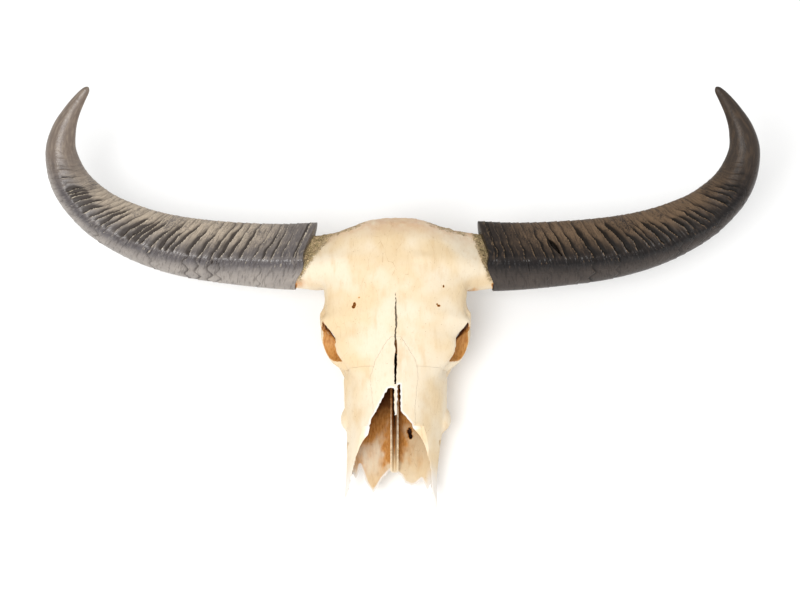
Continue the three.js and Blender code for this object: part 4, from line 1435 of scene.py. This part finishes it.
@dataclass
class Sheath:
    """The keratin sheath of one horn, with its growth rings and a seat for the bone core."""

    horn: Horn
    seed: int
    around: int = 200
    along: int = 460
    seat: float = 24.0
    inner_scale: float = 0.8
    inner_drop: float = 8.0
    seat_rows: int = 16

    # An open split as the place round the horn and along it, in millimetres
    split: tuple[float, float] | None = None

    # The first ring in millimetres from the rim, and the share of the horn's length where the rings end
    first_ring: float = 11.0
    last_ring: float = 0.84

    # How the rings change from the rim to the tip
    spacing: Rail = rail((0, 15), (0.2, 15), (0.4, 12.5), (0.72, 11))
    line_depth: Rail = rail((0, 1.2), (0.2, 1.1), (0.35, 0.6), (0.7, 0.5), (0.8, 0.2))
    crescent: Rail = rail((0, 1.2), (0.12, 2.6), (0.25, 4.4), (0.5, 4.6), (0.62, 3), (0.75, 0.6))
    recovery: Rail = rail((0, 2), (0.12, 3), (0.3, 5.5), (0.72, 5))
    shift: Rail = rail((0, 1), (0.16, 4), (0.3, 12), (0.5, 16), (0.72, 9), (0.9, 0))
    fade: Rail = rail((0, 0.8), (0.04, 1), (0.62, 1), (0.74, 0.6), (0.84, 0))

    def _rows(self, shares: np.ndarray) -> tuple[np.ndarray, ...]:
        """Ring places, scales and drops for the rows of the grid, from the seat's floor out to the tip."""
        seat = self.seat / self.horn.length
        split, last = self.seat_rows / self.along, 1 - 8 / self.along
        knots = (0, split * 0.55, split * 0.75, split, last, 1)
        place = np.interp(shares, knots, (seat, 0, 0, 0.0008, 0.991, 1))
        scale = np.interp(shares, knots, (self.inner_scale, self.inner_scale, 0.975, 1, 1, 1))
        drop = np.interp(shares, knots, (self.inner_drop, self.inner_drop, 0.8, 0, 0, 0))
        late = np.clip((shares - last) / (1 - last), 0, 1)
        scale *= np.sqrt(np.maximum(1 - (0.97 * late) ** 2, 0))
        return place, scale, drop

    @staticmethod
    def upper(u: np.ndarray) -> np.ndarray:
        """Where the dusty upper face is, 1 there and 0 elsewhere, for places round the horn."""
        turn = np.where(u > 0.75, u - 1, u)
        return smoothstep(-0.09, -0.01, turn) * smoothstep(0.262, 0.21, turn)

    def places(self, turns: np.ndarray, shares: np.ndarray) -> np.ndarray:
        """Places on a straightened horn, for patterns that follow it round and along."""
        angle = 2 * np.pi * turns[None] + 0 * shares[:, None]
        girth = self.horn.half_width(shares)[:, None] * 0.8
        run = shares[:, None] * self.horn.length + 0 * angle
        return np.stack([girth * np.cos(angle), girth * np.sin(angle), run], axis=-1)

    def _worked(self, turns: np.ndarray, shares: np.ndarray) -> Keratin:
        """The surface with its rim, ridge, growth rings and split, for places round the horn and along it."""
        draw = np.random.default_rng(self.seed)
        surface = Keratin(self, turns, shares)
        surface.rim()
        surface.ridge()
        at = self.first_ring
        while at < self.last_ring * self.horn.length:
            surface.ring(draw, at)
            at += float(self.spacing(at / self.horn.length)) * draw.uniform(0.68, 1.36)
        if self.split is not None:
            surface.split(*self.split)
        return surface

    def build(self) -> bpy.types.Mesh:
        """Makes the sheath.

        Returns:
            The closed mesh, in millimetres, with the marks that the horn's finish reads.
        """
        turns, shares = np.linspace(0, 1, self.around + 1), np.linspace(0, 1, self.along + 1)
        place, scale, drop = self._rows(shares)
        worked = self._worked(turns, place)
        worked.height[: self.seat_rows] *= np.linspace(0, 1, self.seat_rows)[:, None] ** 4
        points = self.horn.surface(turns, place, scale, 1.0, drop, worked.height)
        # groove carries painted shade, and edge pale worn lips and ridge spots that are partly painted
        # highlight
        marks = {
            "groove": np.clip(worked.groove, 0, 1),
            "edge": np.clip(worked.edge, 0, 1),
            "upper": worked.upper,
            "ridge": np.exp(-(((worked.u - 0.27) / 0.06) ** 2)),
            "dusty": worked.upper * smoothstep(0.25, 0.08, np.where(worked.u > 0.75, 0, worked.u)),
            "share": worked.shares + 0 * worked.u,
            "round": worked.places,
        }
        name = f"horn_sheath_{self.horn.side.word}"
        return rolled_grid(self.around, self.along, lambda *_: points, name, marks)


# Finishing


def tone(red: float, green: float, blue: float) -> Colour:
    """A colour from screen values between 0 and 255."""
    return (*(((value / 255 + 0.055) / 1.055) ** 2.4 for value in (red, green, blue)), 1.0)


# The marks on the meshes that the finishes read: hollow is painted shade mixed with some stain, groove
# painted shade, and edge pale wear that is partly painted highlight
BONE_MARKS = ("hollow", "grit", "broken", "poll", "stain")
HORN_MARKS = ("groove", "edge", "upper", "ridge", "dusty", "share")

# Dry bone, clean and weathered
CREAM = tone(250, 236, 206)
WARM_CREAM = tone(243, 219, 175)
TAN = tone(232, 200, 150)
TAN_STREAK = tone(214, 178, 128)
POLL_PINK = tone(226, 186, 146)
PIT_BROWN = tone(124, 86, 50)
HAIR_CRACK = tone(176, 134, 88)
NECK_STAIN = tone(214, 148, 78)
BROKEN_WHITE = tone(253, 248, 236)

# Colours painted into hollows from their mouths inwards: the golds partly stained bone and partly painted
# shade, the deep brown and near black painted shade
GOLD = tone(232, 170, 92)
OLD_GOLD = tone(196, 128, 52)
DEEP_BROWN = tone(98, 50, 16)
NEAR_BLACK = tone(48, 22, 10)

# Grit and dry moss beside the horns
MOSS = tone(186, 166, 118)
PALE_MOSS = tone(226, 198, 150)
MOSS_EDGE = tone(110, 86, 50)
MOSS_LINE = tone(62, 47, 28)
MOSS_PIT = tone(84, 66, 38)


class Tree:
    """Adds nodes to a node tree and joins them up."""

    def __init__(self, tree: bpy.types.NodeTree) -> None:
        """Takes the tree to work on."""
        self.tree = tree

    def node(
        self, kind: str, values: dict[str | int, object] | None = None, **fields: object
    ) -> bpy.types.Node:
        """Adds one node.

        Args:
            kind: The node's type, without its first word.
            values: Sockets by name or number, each with a value or another socket to join.
            **fields: Other fields of the node.

        Returns:
            The node.
        """
        made = self.tree.nodes.new(f"ShaderNode{kind}")
        for name, value in fields.items():
            setattr(made, name, value)
        for name, value in (values or {}).items():
            if isinstance(value, bpy.types.NodeSocket):
                self.tree.links.new(value, made.inputs[name])
            else:
                made.inputs[name].default_value = value
        return made

    def group(self, effect: bpy.types.NodeTree, values: dict[str | int, object]) -> bpy.types.Node:
        """Adds a shared effect."""
        return self.node("Group", values, node_tree=effect)

    def math(self, operation: str, *values: object) -> bpy.types.NodeSocket:
        """Adds one step of arithmetic on one or two values."""
        return self.node("Math", dict(enumerate(values)), operation=operation).outputs[0]

    def noise(
        self, place: object, size: float, detail: float = 2.0, distortion: float = 0.0
    ) -> bpy.types.NodeSocket:
        """Adds smooth noise with ripples of the given size."""
        values = {"Vector": place, "Scale": 1 / size, "Detail": detail, "Distortion": distortion}
        return self.node("TexNoise", values).outputs["Fac"]

    def stretched(self, place: object, scale: tuple[float, float, float]) -> bpy.types.NodeSocket:
        """Scales a place by three factors."""
        return self.node("Mapping", {"Vector": place, "Scale": scale}).outputs["Vector"]

    def step(self, value: object, low: float, high: float, top: object = 1.0) -> bpy.types.NodeSocket:
        """Adds a smooth step from 0 at low to top at high."""
        values = {"Value": value, "From Min": low, "From Max": high, "To Max": top}
        return self.node("MapRange", values, interpolation_type="SMOOTHSTEP").outputs["Result"]

    def blend(self, share: object, under: object, over: object, mode: str = "MIX") -> bpy.types.NodeSocket:
        """Lays one colour over another."""
        made = self.node("Mix", {"Factor": share, 6: under, 7: over}, data_type="RGBA", blend_type=mode)
        return made.outputs[2]

    def value(self, name: str) -> bpy.types.NodeSocket:
        """Reads a value stored at the vertices."""
        return self.node("Attribute", attribute_name=name).outputs["Fac"]

    def dress(self, skin: bpy.types.Node, colour: bpy.types.NodeSocket, relief: float) -> None:
        """Joins a skin to the material's shader.

        Args:
            skin: The skin's node, with its height and roughness.
            colour: The final colour.
            relief: The depth of the skin's height in millimetres.
        """
        shader = self.tree.nodes["Principled BSDF"]
        bump = self.node("Bump", {"Strength": 1.0, "Distance": relief * MM, "Height": skin.outputs["Height"]})
        self.tree.links.new(colour, shader.inputs["Base Color"])
        self.tree.links.new(skin.outputs["Rough"], shader.inputs["Roughness"])
        self.tree.links.new(bump.outputs["Normal"], shader.inputs["Normal"])


def effect(
    name: str, takes: dict[str, str], gives: dict[str, str], fill: Callable[[Tree, object], dict[str, object]]
) -> bpy.types.NodeTree:
    """Makes a shared effect.

    Args:
        name: The effect's name.
        takes: The names and kinds of its inputs.
        gives: The names and kinds of its outputs.
        fill: Adds its nodes and gives the sockets for the outputs.

    Returns:
        The node group.
    """
    group = bpy.data.node_groups.new(name, "ShaderNodeTree")
    for words, way in ((takes, "INPUT"), (gives, "OUTPUT")):
        for word, kind in words.items():
            group.interface.new_socket(word, in_out=way, socket_type=f"NodeSocket{kind}")
    tree = Tree(group)
    source, sink = group.nodes.new("NodeGroupInput"), group.nodes.new("NodeGroupOutput")
    for word, socket in fill(tree, source.outputs).items():
        group.links.new(socket, sink.inputs[word])
    return group


def pores() -> bpy.types.NodeTree:
    """Sparse small pits, as a mask that is 1 in a pit."""

    def fill(tree: Tree, given: object) -> dict[str, object]:
        bent = tree.noise(given["Place"], 2.0)
        cells = tree.node("TexVoronoi", {"Vector": given["Place"], "Scale": given["Fineness"]})
        reach = tree.math("ADD", cells.outputs["Distance"], tree.math("MULTIPLY", bent, 0.16))
        dot = tree.step(reach, 0.27, 0.15)
        rare = tree.node("SeparateColor", {"Color": cells.outputs["Color"]}).outputs["Red"]
        chosen = tree.math("LESS_THAN", rare, given["Share"])
        return {"Pits": tree.math("MULTIPLY", dot, chosen)}

    inputs = {"Place": "Vector", "Fineness": "Float", "Share": "Float"}
    return effect("pores", inputs, {"Pits": "Float"}, fill)


def bone_skin(pits: bpy.types.NodeTree) -> bpy.types.NodeTree:
    """Dry bone: cream in warm patches, golden to near black in its hollows as partly stained bone and partly
    painted shade, mossy by the horns and white where broken.

    Args:
        pits: The effect that gives sparse pits.

    Returns:
        The node group.
    """
    takes = {"Place": "Vector", **{word.capitalize(): "Float" for word in BONE_MARKS}}

    def fill(tree: Tree, given: object) -> dict[str, object]:
        place = given["Place"]
        along = tree.stretched(place, (1.0, 0.35, 0.35))
        patch, cloud, grain = tree.noise(place, 62, 2), tree.noise(along, 14, 4), tree.noise(along, 2.6, 3)
        colour = tree.blend(tree.step(patch, 0.38, 0.66), CREAM, WARM_CREAM)
        colour = tree.blend(tree.step(cloud, 0.5, 0.78, 0.55), colour, TAN)
        colour = tree.blend(tree.step(grain, 0.5, 0.8, 0.22), colour, TAN_STREAK)
        poll = tree.math("MULTIPLY", given["Poll"], tree.step(tree.noise(place, 13, 4), 0.1, 0.8))
        colour = tree.blend(poll, colour, POLL_PINK)
        dirty = tree.math("MAXIMUM", tree.math("MULTIPLY", given["Poll"], 0.3), given["Grit"])
        often = tree.math("ADD", 0.09, tree.math("MULTIPLY", dirty, 0.3))
        small = tree.group(pits, {"Place": place, "Fineness": 0.3, "Share": often}).outputs["Pits"]
        fine = tree.group(pits, {"Place": place, "Fineness": 0.75, "Share": 0.07}).outputs["Pits"]
        dots = tree.math("MAXIMUM", small, fine)
        colour = tree.blend(tree.math("MULTIPLY", dots, 0.6), colour, PIT_BROWN)
        lines = tree.node(
            "TexVoronoi",
            {"Vector": tree.stretched(place, (0.09, 0.02, 0.02)), "Scale": 1.0},
            feature="DISTANCE_TO_EDGE",
        ).outputs["Distance"]
        wander = tree.math("ADD", lines, tree.math("MULTIPLY", tree.noise(place, 5, 3), 0.03))
        hair = tree.math("MULTIPLY", tree.step(wander, 0.024, 0.014), tree.step(patch, 0.5, 0.62, 0.5))
        colour = tree.blend(hair, colour, HAIR_CRACK)
        # Where the hollow mark is high the bone turns gold, partly stained bone and partly painted shade,
        # then deep brown and near black, painted shade deeper in
        gold = tree.blend(tree.step(grain, 0.3, 0.75), GOLD, OLD_GOLD)
        deep = tree.step(given["Hollow"], 0.72, 0.97)
        gold = tree.blend(deep, gold, DEEP_BROWN)
        gold = tree.blend(tree.step(given["Hollow"], 0.985, 1.0), gold, NEAR_BLACK)
        uneven = tree.math("MULTIPLY", tree.math("SUBTRACT", cloud, 0.5), 0.5)
        inside = tree.math("ADD", given["Hollow"], uneven)
        colour = tree.blend(tree.step(inside, 0.36, 0.68), colour, gold)
        rough, crumb = tree.noise(place, 3.0, 4, 1.5), tree.noise(place, 7, 4)
        edge = tree.math("ADD", given["Grit"], tree.math("MULTIPLY", tree.math("SUBTRACT", crumb, 0.5), 1.7))
        gritty = tree.math("MULTIPLY", tree.step(edge, 0.22, 0.8), tree.step(given["Grit"], 0.02, 0.3))
        moss = tree.blend(tree.step(crumb, 0.4, 0.62), MOSS, PALE_MOSS)
        line = tree.math("ABSOLUTE", tree.math("SUBTRACT", rough, 0.48))
        lines_here = tree.math("MULTIPLY", tree.step(line, 0.05, 0.015), tree.step(given["Grit"], 0.08, 0.5))
        colour = tree.blend(tree.math("MULTIPLY", lines_here, 0.5), colour, MOSS_EDGE)
        moss = tree.blend(lines_here, moss, MOSS_LINE)
        moss = tree.blend(tree.step(rough, 0.4, 0.34), moss, MOSS_PIT)
        stained = tree.math("MULTIPLY", given["Stain"], tree.step(cloud, 0.22, 0.5))
        colour = tree.blend(stained, colour, NECK_STAIN)
        colour = tree.blend(gritty, colour, moss)
        colour = tree.blend(tree.step(given["Broken"], 0.15, 0.9), colour, BROKEN_WHITE)
        height = tree.math("ADD", tree.math("MULTIPLY", grain, 0.35), tree.math("MULTIPLY", cloud, 0.5))
        height = tree.math("SUBTRACT", height, tree.math("MULTIPLY", dots, 0.5))
        height = tree.math("ADD", height, tree.math("MULTIPLY", tree.math("MULTIPLY", gritty, rough), 3.5))
        rough_skin = tree.math("ADD", 0.55, tree.math("MULTIPLY", gritty, 0.3))
        return {"Colour": colour, "Height": height, "Rough": rough_skin}

    return effect("bone_skin", takes, {"Colour": "Color", "Height": "Float", "Rough": "Float"}, fill)


def horn_skin(pits: bpy.types.NodeTree) -> bpy.types.NodeTree:
    """Weathered horn: dusty above, smoother below, darkened in its grooves as painted shade, and pale along
    the rings' lips and ridge spots, partly wear and partly painted highlight.

    Args:
        pits: The effect that gives sparse pits.

    Returns:
        The node group.
    """
    takes = {"Place": "Vector", **{word.capitalize(): "Float" for word in HORN_MARKS}}
    takes |= {word: "Color" for word in ("Dust", "Body", "Under", "Hollow", "Lip", "Tip")}

    def fill(tree: Tree, given: object) -> dict[str, object]:
        place, upper = given["Place"], given["Upper"]
        fibre = tree.noise(tree.stretched(place, (1.0, 1.0, 0.1)), 3.0, 3)
        band = tree.noise(tree.stretched(place, (0.16, 0.16, 1.0)), 2.4, 3, 0.2)
        bent = tree.stretched(place, (0.45, 0.45, 1.3))
        speck, cloud, mottle = tree.noise(place, 1.8, 3), tree.noise(place, 24, 4), tree.noise(bent, 4.2, 4)
        near = tree.step(given["Share"], 0.02, 0.2, 0.75)
        far = tree.math("MULTIPLY", near, tree.step(given["Share"], 0.86, 0.55))
        dusty = tree.math("MULTIPLY", given["Dusty"], tree.step(tree.math("ADD", speck, cloud), 0.56, 1.1))
        dusty = tree.math("MULTIPLY", dusty, tree.math("ADD", far, 0.12))
        lower = tree.math("SUBTRACT", 1.0, upper)
        plain = tree.blend(tree.step(cloud, 0.36, 0.7, 0.3), given["Under"], given["Body"])
        colour = tree.blend(tree.math("MAXIMUM", upper, given["Ridge"]), plain, given["Body"])
        colour = tree.blend(dusty, colour, given["Dust"])
        colour = tree.blend(tree.step(band, 0.52, 0.3, 0.5), colour, given["Hollow"])
        for face, low, high, most, over in (
            (upper, 0.48, 0.3, 0.25, "Hollow"),
            (upper, 0.52, 0.72, 0.3, "Dust"),
            (lower, 0.5, 0.7, 0.35, "Under"),
        ):
            share = tree.math("MULTIPLY", face, tree.step(mottle, low, high, most))
            colour = tree.blend(share, colour, given[over])
        late = tree.step(tree.math("ADD", given["Share"], tree.math("MULTIPLY", cloud, 0.15)), 0.74, 0.9)
        end = tree.blend(tree.step(fibre, 0.4, 0.7, 0.2), given["Tip"], given["Dust"])
        colour = tree.blend(late, colour, end)
        holes = tree.group(pits, {"Place": place, "Fineness": 0.55, "Share": 0.25}).outputs["Pits"]
        holes = tree.math("MULTIPLY", holes, upper)
        # Painted shade in the ring grooves, the split and the pits
        dark = tree.step(given["Groove"], 0.04, 0.42, 0.95)
        dark = tree.math("MAXIMUM", dark, tree.math("MULTIPLY", holes, 0.4))
        colour = tree.blend(dark, colour, given["Hollow"])
        # Pale lips and ridge spots: partly wear, partly painted highlight
        worn = tree.math("MULTIPLY", tree.step(given["Edge"], 0.45, 0.95), tree.step(speck, 0.35, 0.6))
        colour = tree.blend(tree.math("MULTIPLY", worn, 0.7), colour, given["Lip"])
        height = tree.math("ADD", tree.math("MULTIPLY", speck, 0.55), tree.math("MULTIPLY", mottle, 0.5))
        height = tree.math("ADD", height, tree.math("MULTIPLY", band, 0.6))
        height = tree.math("SUBTRACT", height, tree.math("MULTIPLY", holes, 0.5))
        rough = tree.math("ADD", 0.3, tree.math("MULTIPLY", dusty, 0.32))
        rough = tree.math("ADD", rough, tree.math("MULTIPLY", dark, 0.25))
        rough = tree.math("SUBTRACT", rough, tree.math("MULTIPLY", given["Ridge"], 0.1))
        return {"Colour": colour, "Height": height, "Rough": rough}

    return effect("horn_skin", takes, {"Colour": "Color", "Height": "Float", "Rough": "Float"}, fill)


@dataclass(frozen=True)
class Finish:
    """A plain surface finish."""

    name: str
    colour: Colour
    roughness: float
    shine: float = 0.5

    def material(self) -> bpy.types.Material:
        """Makes the material."""
        made = bpy.data.materials.new(self.name)
        made.use_nodes = True
        shader = made.node_tree.nodes["Principled BSDF"]
        shader.inputs["Base Color"].default_value = self.colour
        shader.inputs["Roughness"].default_value = self.roughness
        shader.inputs["Specular IOR Level"].default_value = self.shine
        return made


@dataclass(frozen=True)
class BoneFinish(Finish):
    """Dry bone that reads the marks on its mesh and is tinted all over by its colour."""

    skin: bpy.types.NodeTree | None = None
    relief: float = 0.35

    def material(self) -> bpy.types.Material:
        """Makes the material."""
        made = super().material()
        tree = Tree(made.node_tree)
        place = tree.stretched(tree.node("TexCoord").outputs["Object"], (1 / MM, 1 / MM, 1 / MM))
        marks = {word.capitalize(): tree.value(word) for word in BONE_MARKS}
        skin = tree.group(self.skin, {"Place": place, **marks})
        tree.dress(skin, tree.blend(1.0, skin.outputs["Colour"], self.colour, "MULTIPLY"), self.relief)
        return made


@dataclass(frozen=True)
class HornFinish(Finish):
    """Weathered horn that reads the marks on its mesh, with its own colour on the body of the horn."""

    dust: Colour = CREAM
    # The dark colour of bands and mottle, and of painted shade in grooves
    hollow: Colour = CREAM
    # The pale colour of worn lips and ridge spots, partly a painted highlight
    lip: Colour = CREAM
    tip: Colour = CREAM
    under: Colour = CREAM
    skin: bpy.types.NodeTree | None = None
    relief: float = 0.5

    def material(self) -> bpy.types.Material:
        """Makes the material."""
        made = super().material()
        tree = Tree(made.node_tree)
        place = tree.node("Attribute", attribute_name="round").outputs["Vector"]
        marks = {word.capitalize(): tree.value(word) for word in HORN_MARKS}
        colours = {"Dust": self.dust, "Body": self.colour, "Hollow": self.hollow, "Lip": self.lip}
        colours |= {"Tip": self.tip, "Under": self.under}
        skin = tree.group(self.skin, {"Place": place, **marks, **colours})
        tree.dress(skin, skin.outputs["Colour"], self.relief)
        return made


class Assembly:
    """Sets finished pieces into the shared frame."""

    def __init__(self) -> None:
        """Finds how far the skull's own directions are moved in the shared frame."""
        corner = (Vomer.middle - Vomer.half_width, Vomer.front, Vomer.foot)
        self.shift = Vector([low - own * MM for low, own in zip(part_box("vomer")[0], corner)])

    def add(
        self, name: str, mesh: bpy.types.Mesh, slot: str, material: bpy.types.Material, *nodes: str
    ) -> bpy.types.Object:
        """Adds one piece.

        Args:
            name: The piece's name.
            mesh: Its mesh, in millimetres.
            slot: Not used.
            material: Its material.
            *nodes: The solids that it stands for.

        Returns:
            The new object.
        """
        mesh.transform(Matrix.Translation(self.shift) @ Matrix.Scale(MM, 4))
        mesh.materials.clear()
        mesh.materials.append(material)
        mesh.shade_smooth()
        mesh.set_sharp_from_angle(angle=math.radians(38))
        piece = bpy.data.objects.new(name, mesh)
        mesh.name = name
        bpy.context.scene.collection.objects.link(piece)
        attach(piece, "root")
        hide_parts(*nodes)
        LOG.info("%s: %d faces", name, len(mesh.polygons))
        return piece


@dataclass(frozen=True)
class Studio:
    """The pale floor, the soft lights and the camera above the face."""

    # The camera and what it looks at, in the skull's millimetres
    target: tuple[float, float, float] = (6.75, 52.07, 145.65)
    camera: tuple[float, float, float] = (6.75, -1046.7, 2502.0)
    lens: float = 78.0
    sensor: float = 36.0

    # Lights as name, place and size in metres, and power
    lights: tuple[tuple[str, tuple[float, float, float], float, float], ...] = (
        ("key", (-0.6, -1.2, 2.4), 1.1, 40.0),
        ("low", (-0.1, -2.1, 0.9), 0.5, 6.0),
    )
    daylight: float = 0.88
    floor: Finish = Finish("floor", (0.93, 0.93, 0.925, 1), 0.9, 0.1)

    def build(self, shift: Vector) -> None:
        """Builds everything that isn't part of the skull.

        Args:
            shift: How far the skull's own directions are moved in the shared frame, in metres.
        """
        self._floor()
        for light in self.lights:
            self._light(*light)
        world = bpy.data.worlds.new("daylight")
        world.use_nodes = True
        world.node_tree.nodes["Background"].inputs["Color"].default_value = (1, 1, 1, 1)
        world.node_tree.nodes["Background"].inputs["Strength"].default_value = self.daylight
        scene = bpy.context.scene
        scene.world = world
        scene.view_settings.view_transform = "Standard"
        data = bpy.data.cameras.new("camera")
        data.lens = self.lens
        data.sensor_width = self.sensor
        data.sensor_fit = "HORIZONTAL"
        data.clip_end = 20
        eye = bpy.data.objects.new("camera", data)
        scene.collection.objects.link(eye)
        place, target = (Vector(p) * MM + shift for p in (self.camera, self.target))
        eye.location = place
        eye.rotation_euler = (target - place).to_track_quat("-Z", "Y").to_euler()
        scene.camera = eye

    def _floor(self) -> None:
        """A wide pale floor."""
        bm = bmesh.new()
        bmesh.ops.create_grid(bm, x_segments=1, y_segments=1, size=6)
        floor = bpy.data.objects.new("floor", to_mesh(bm, "floor"))
        floor.data.materials.append(self.floor.material())
        bpy.context.scene.collection.objects.link(floor)

    def _light(self, name: str, place: tuple[float, float, float], size: float, power: float) -> None:
        """A square soft light that faces the skull."""
        data = bpy.data.lights.new(name, "AREA")
        data.size = size
        data.energy = power
        light = bpy.data.objects.new(name, data)
        light.location = place
        light.rotation_euler = (Vector((0, 0, 0.15)) - Vector(place)).to_track_quat("-Z", "Y").to_euler()
        bpy.context.scene.collection.objects.link(light)


def main() -> None:
    """Builds the skull piece by piece, dresses it and sets the studio."""
    logging.basicConfig(level=logging.INFO, format="%(relativeCreated)7.0f ms %(message)s")
    assembly = Assembly()
    Studio().build(assembly.shift)
    pits = pores()
    dry = bone_skin(pits)
    bone = BoneFinish("bone", (0.748, 0.733, 0.748, 1), 0.6, 0.3, dry).material()
    enamel = BoneFinish("enamel", (0.7, 0.69, 0.66, 1), 0.4, 0.5, dry, relief=0.3).material()
    skin = horn_skin(pits)
    horn_grey = HornFinish(
        "horn_grey", tone(80, 75, 76), 0.4, 0.42, skin=skin,
        dust=tone(187, 171, 150), hollow=tone(46, 37, 31), lip=tone(200, 187, 166),
        tip=tone(106, 93, 83), under=tone(146, 138, 131),
    )
    horn_dark = HornFinish(
        "horn_dark", tone(24, 21, 21), 0.4, 0.18, skin=skin,
        dust=tone(114, 92, 70), hollow=tone(14, 9, 5), lip=tone(128, 105, 80),
        tip=tone(54, 46, 40), under=tone(66, 58, 53),
    )
    for name, mesh in Bones().build().items():
        assembly.add(f"{name}_bone", mesh, "bone", bone, name)
    for side in Side:
        assembly.add(f"teeth_{side.word}", Teeth(side).build(), "bone", enamel, f"maxilla_{side.word}")
    assembly.add("vomer_bone", Vomer().build(), "bone", bone, "vomer")
    sheaths = (
        (Sheath(HORNS[0], seed=40), horn_grey),
        (Sheath(HORNS[1], seed=42, split=(46.0, 104.0)), horn_dark),
    )
    for sheath, finish in sheaths:
        word = sheath.horn.side.word
        assembly.add(f"sheath_{word}", sheath.build(), "horn", finish.material(), f"horn_sheath_{word}")


if __name__ == "__main__":
    main()
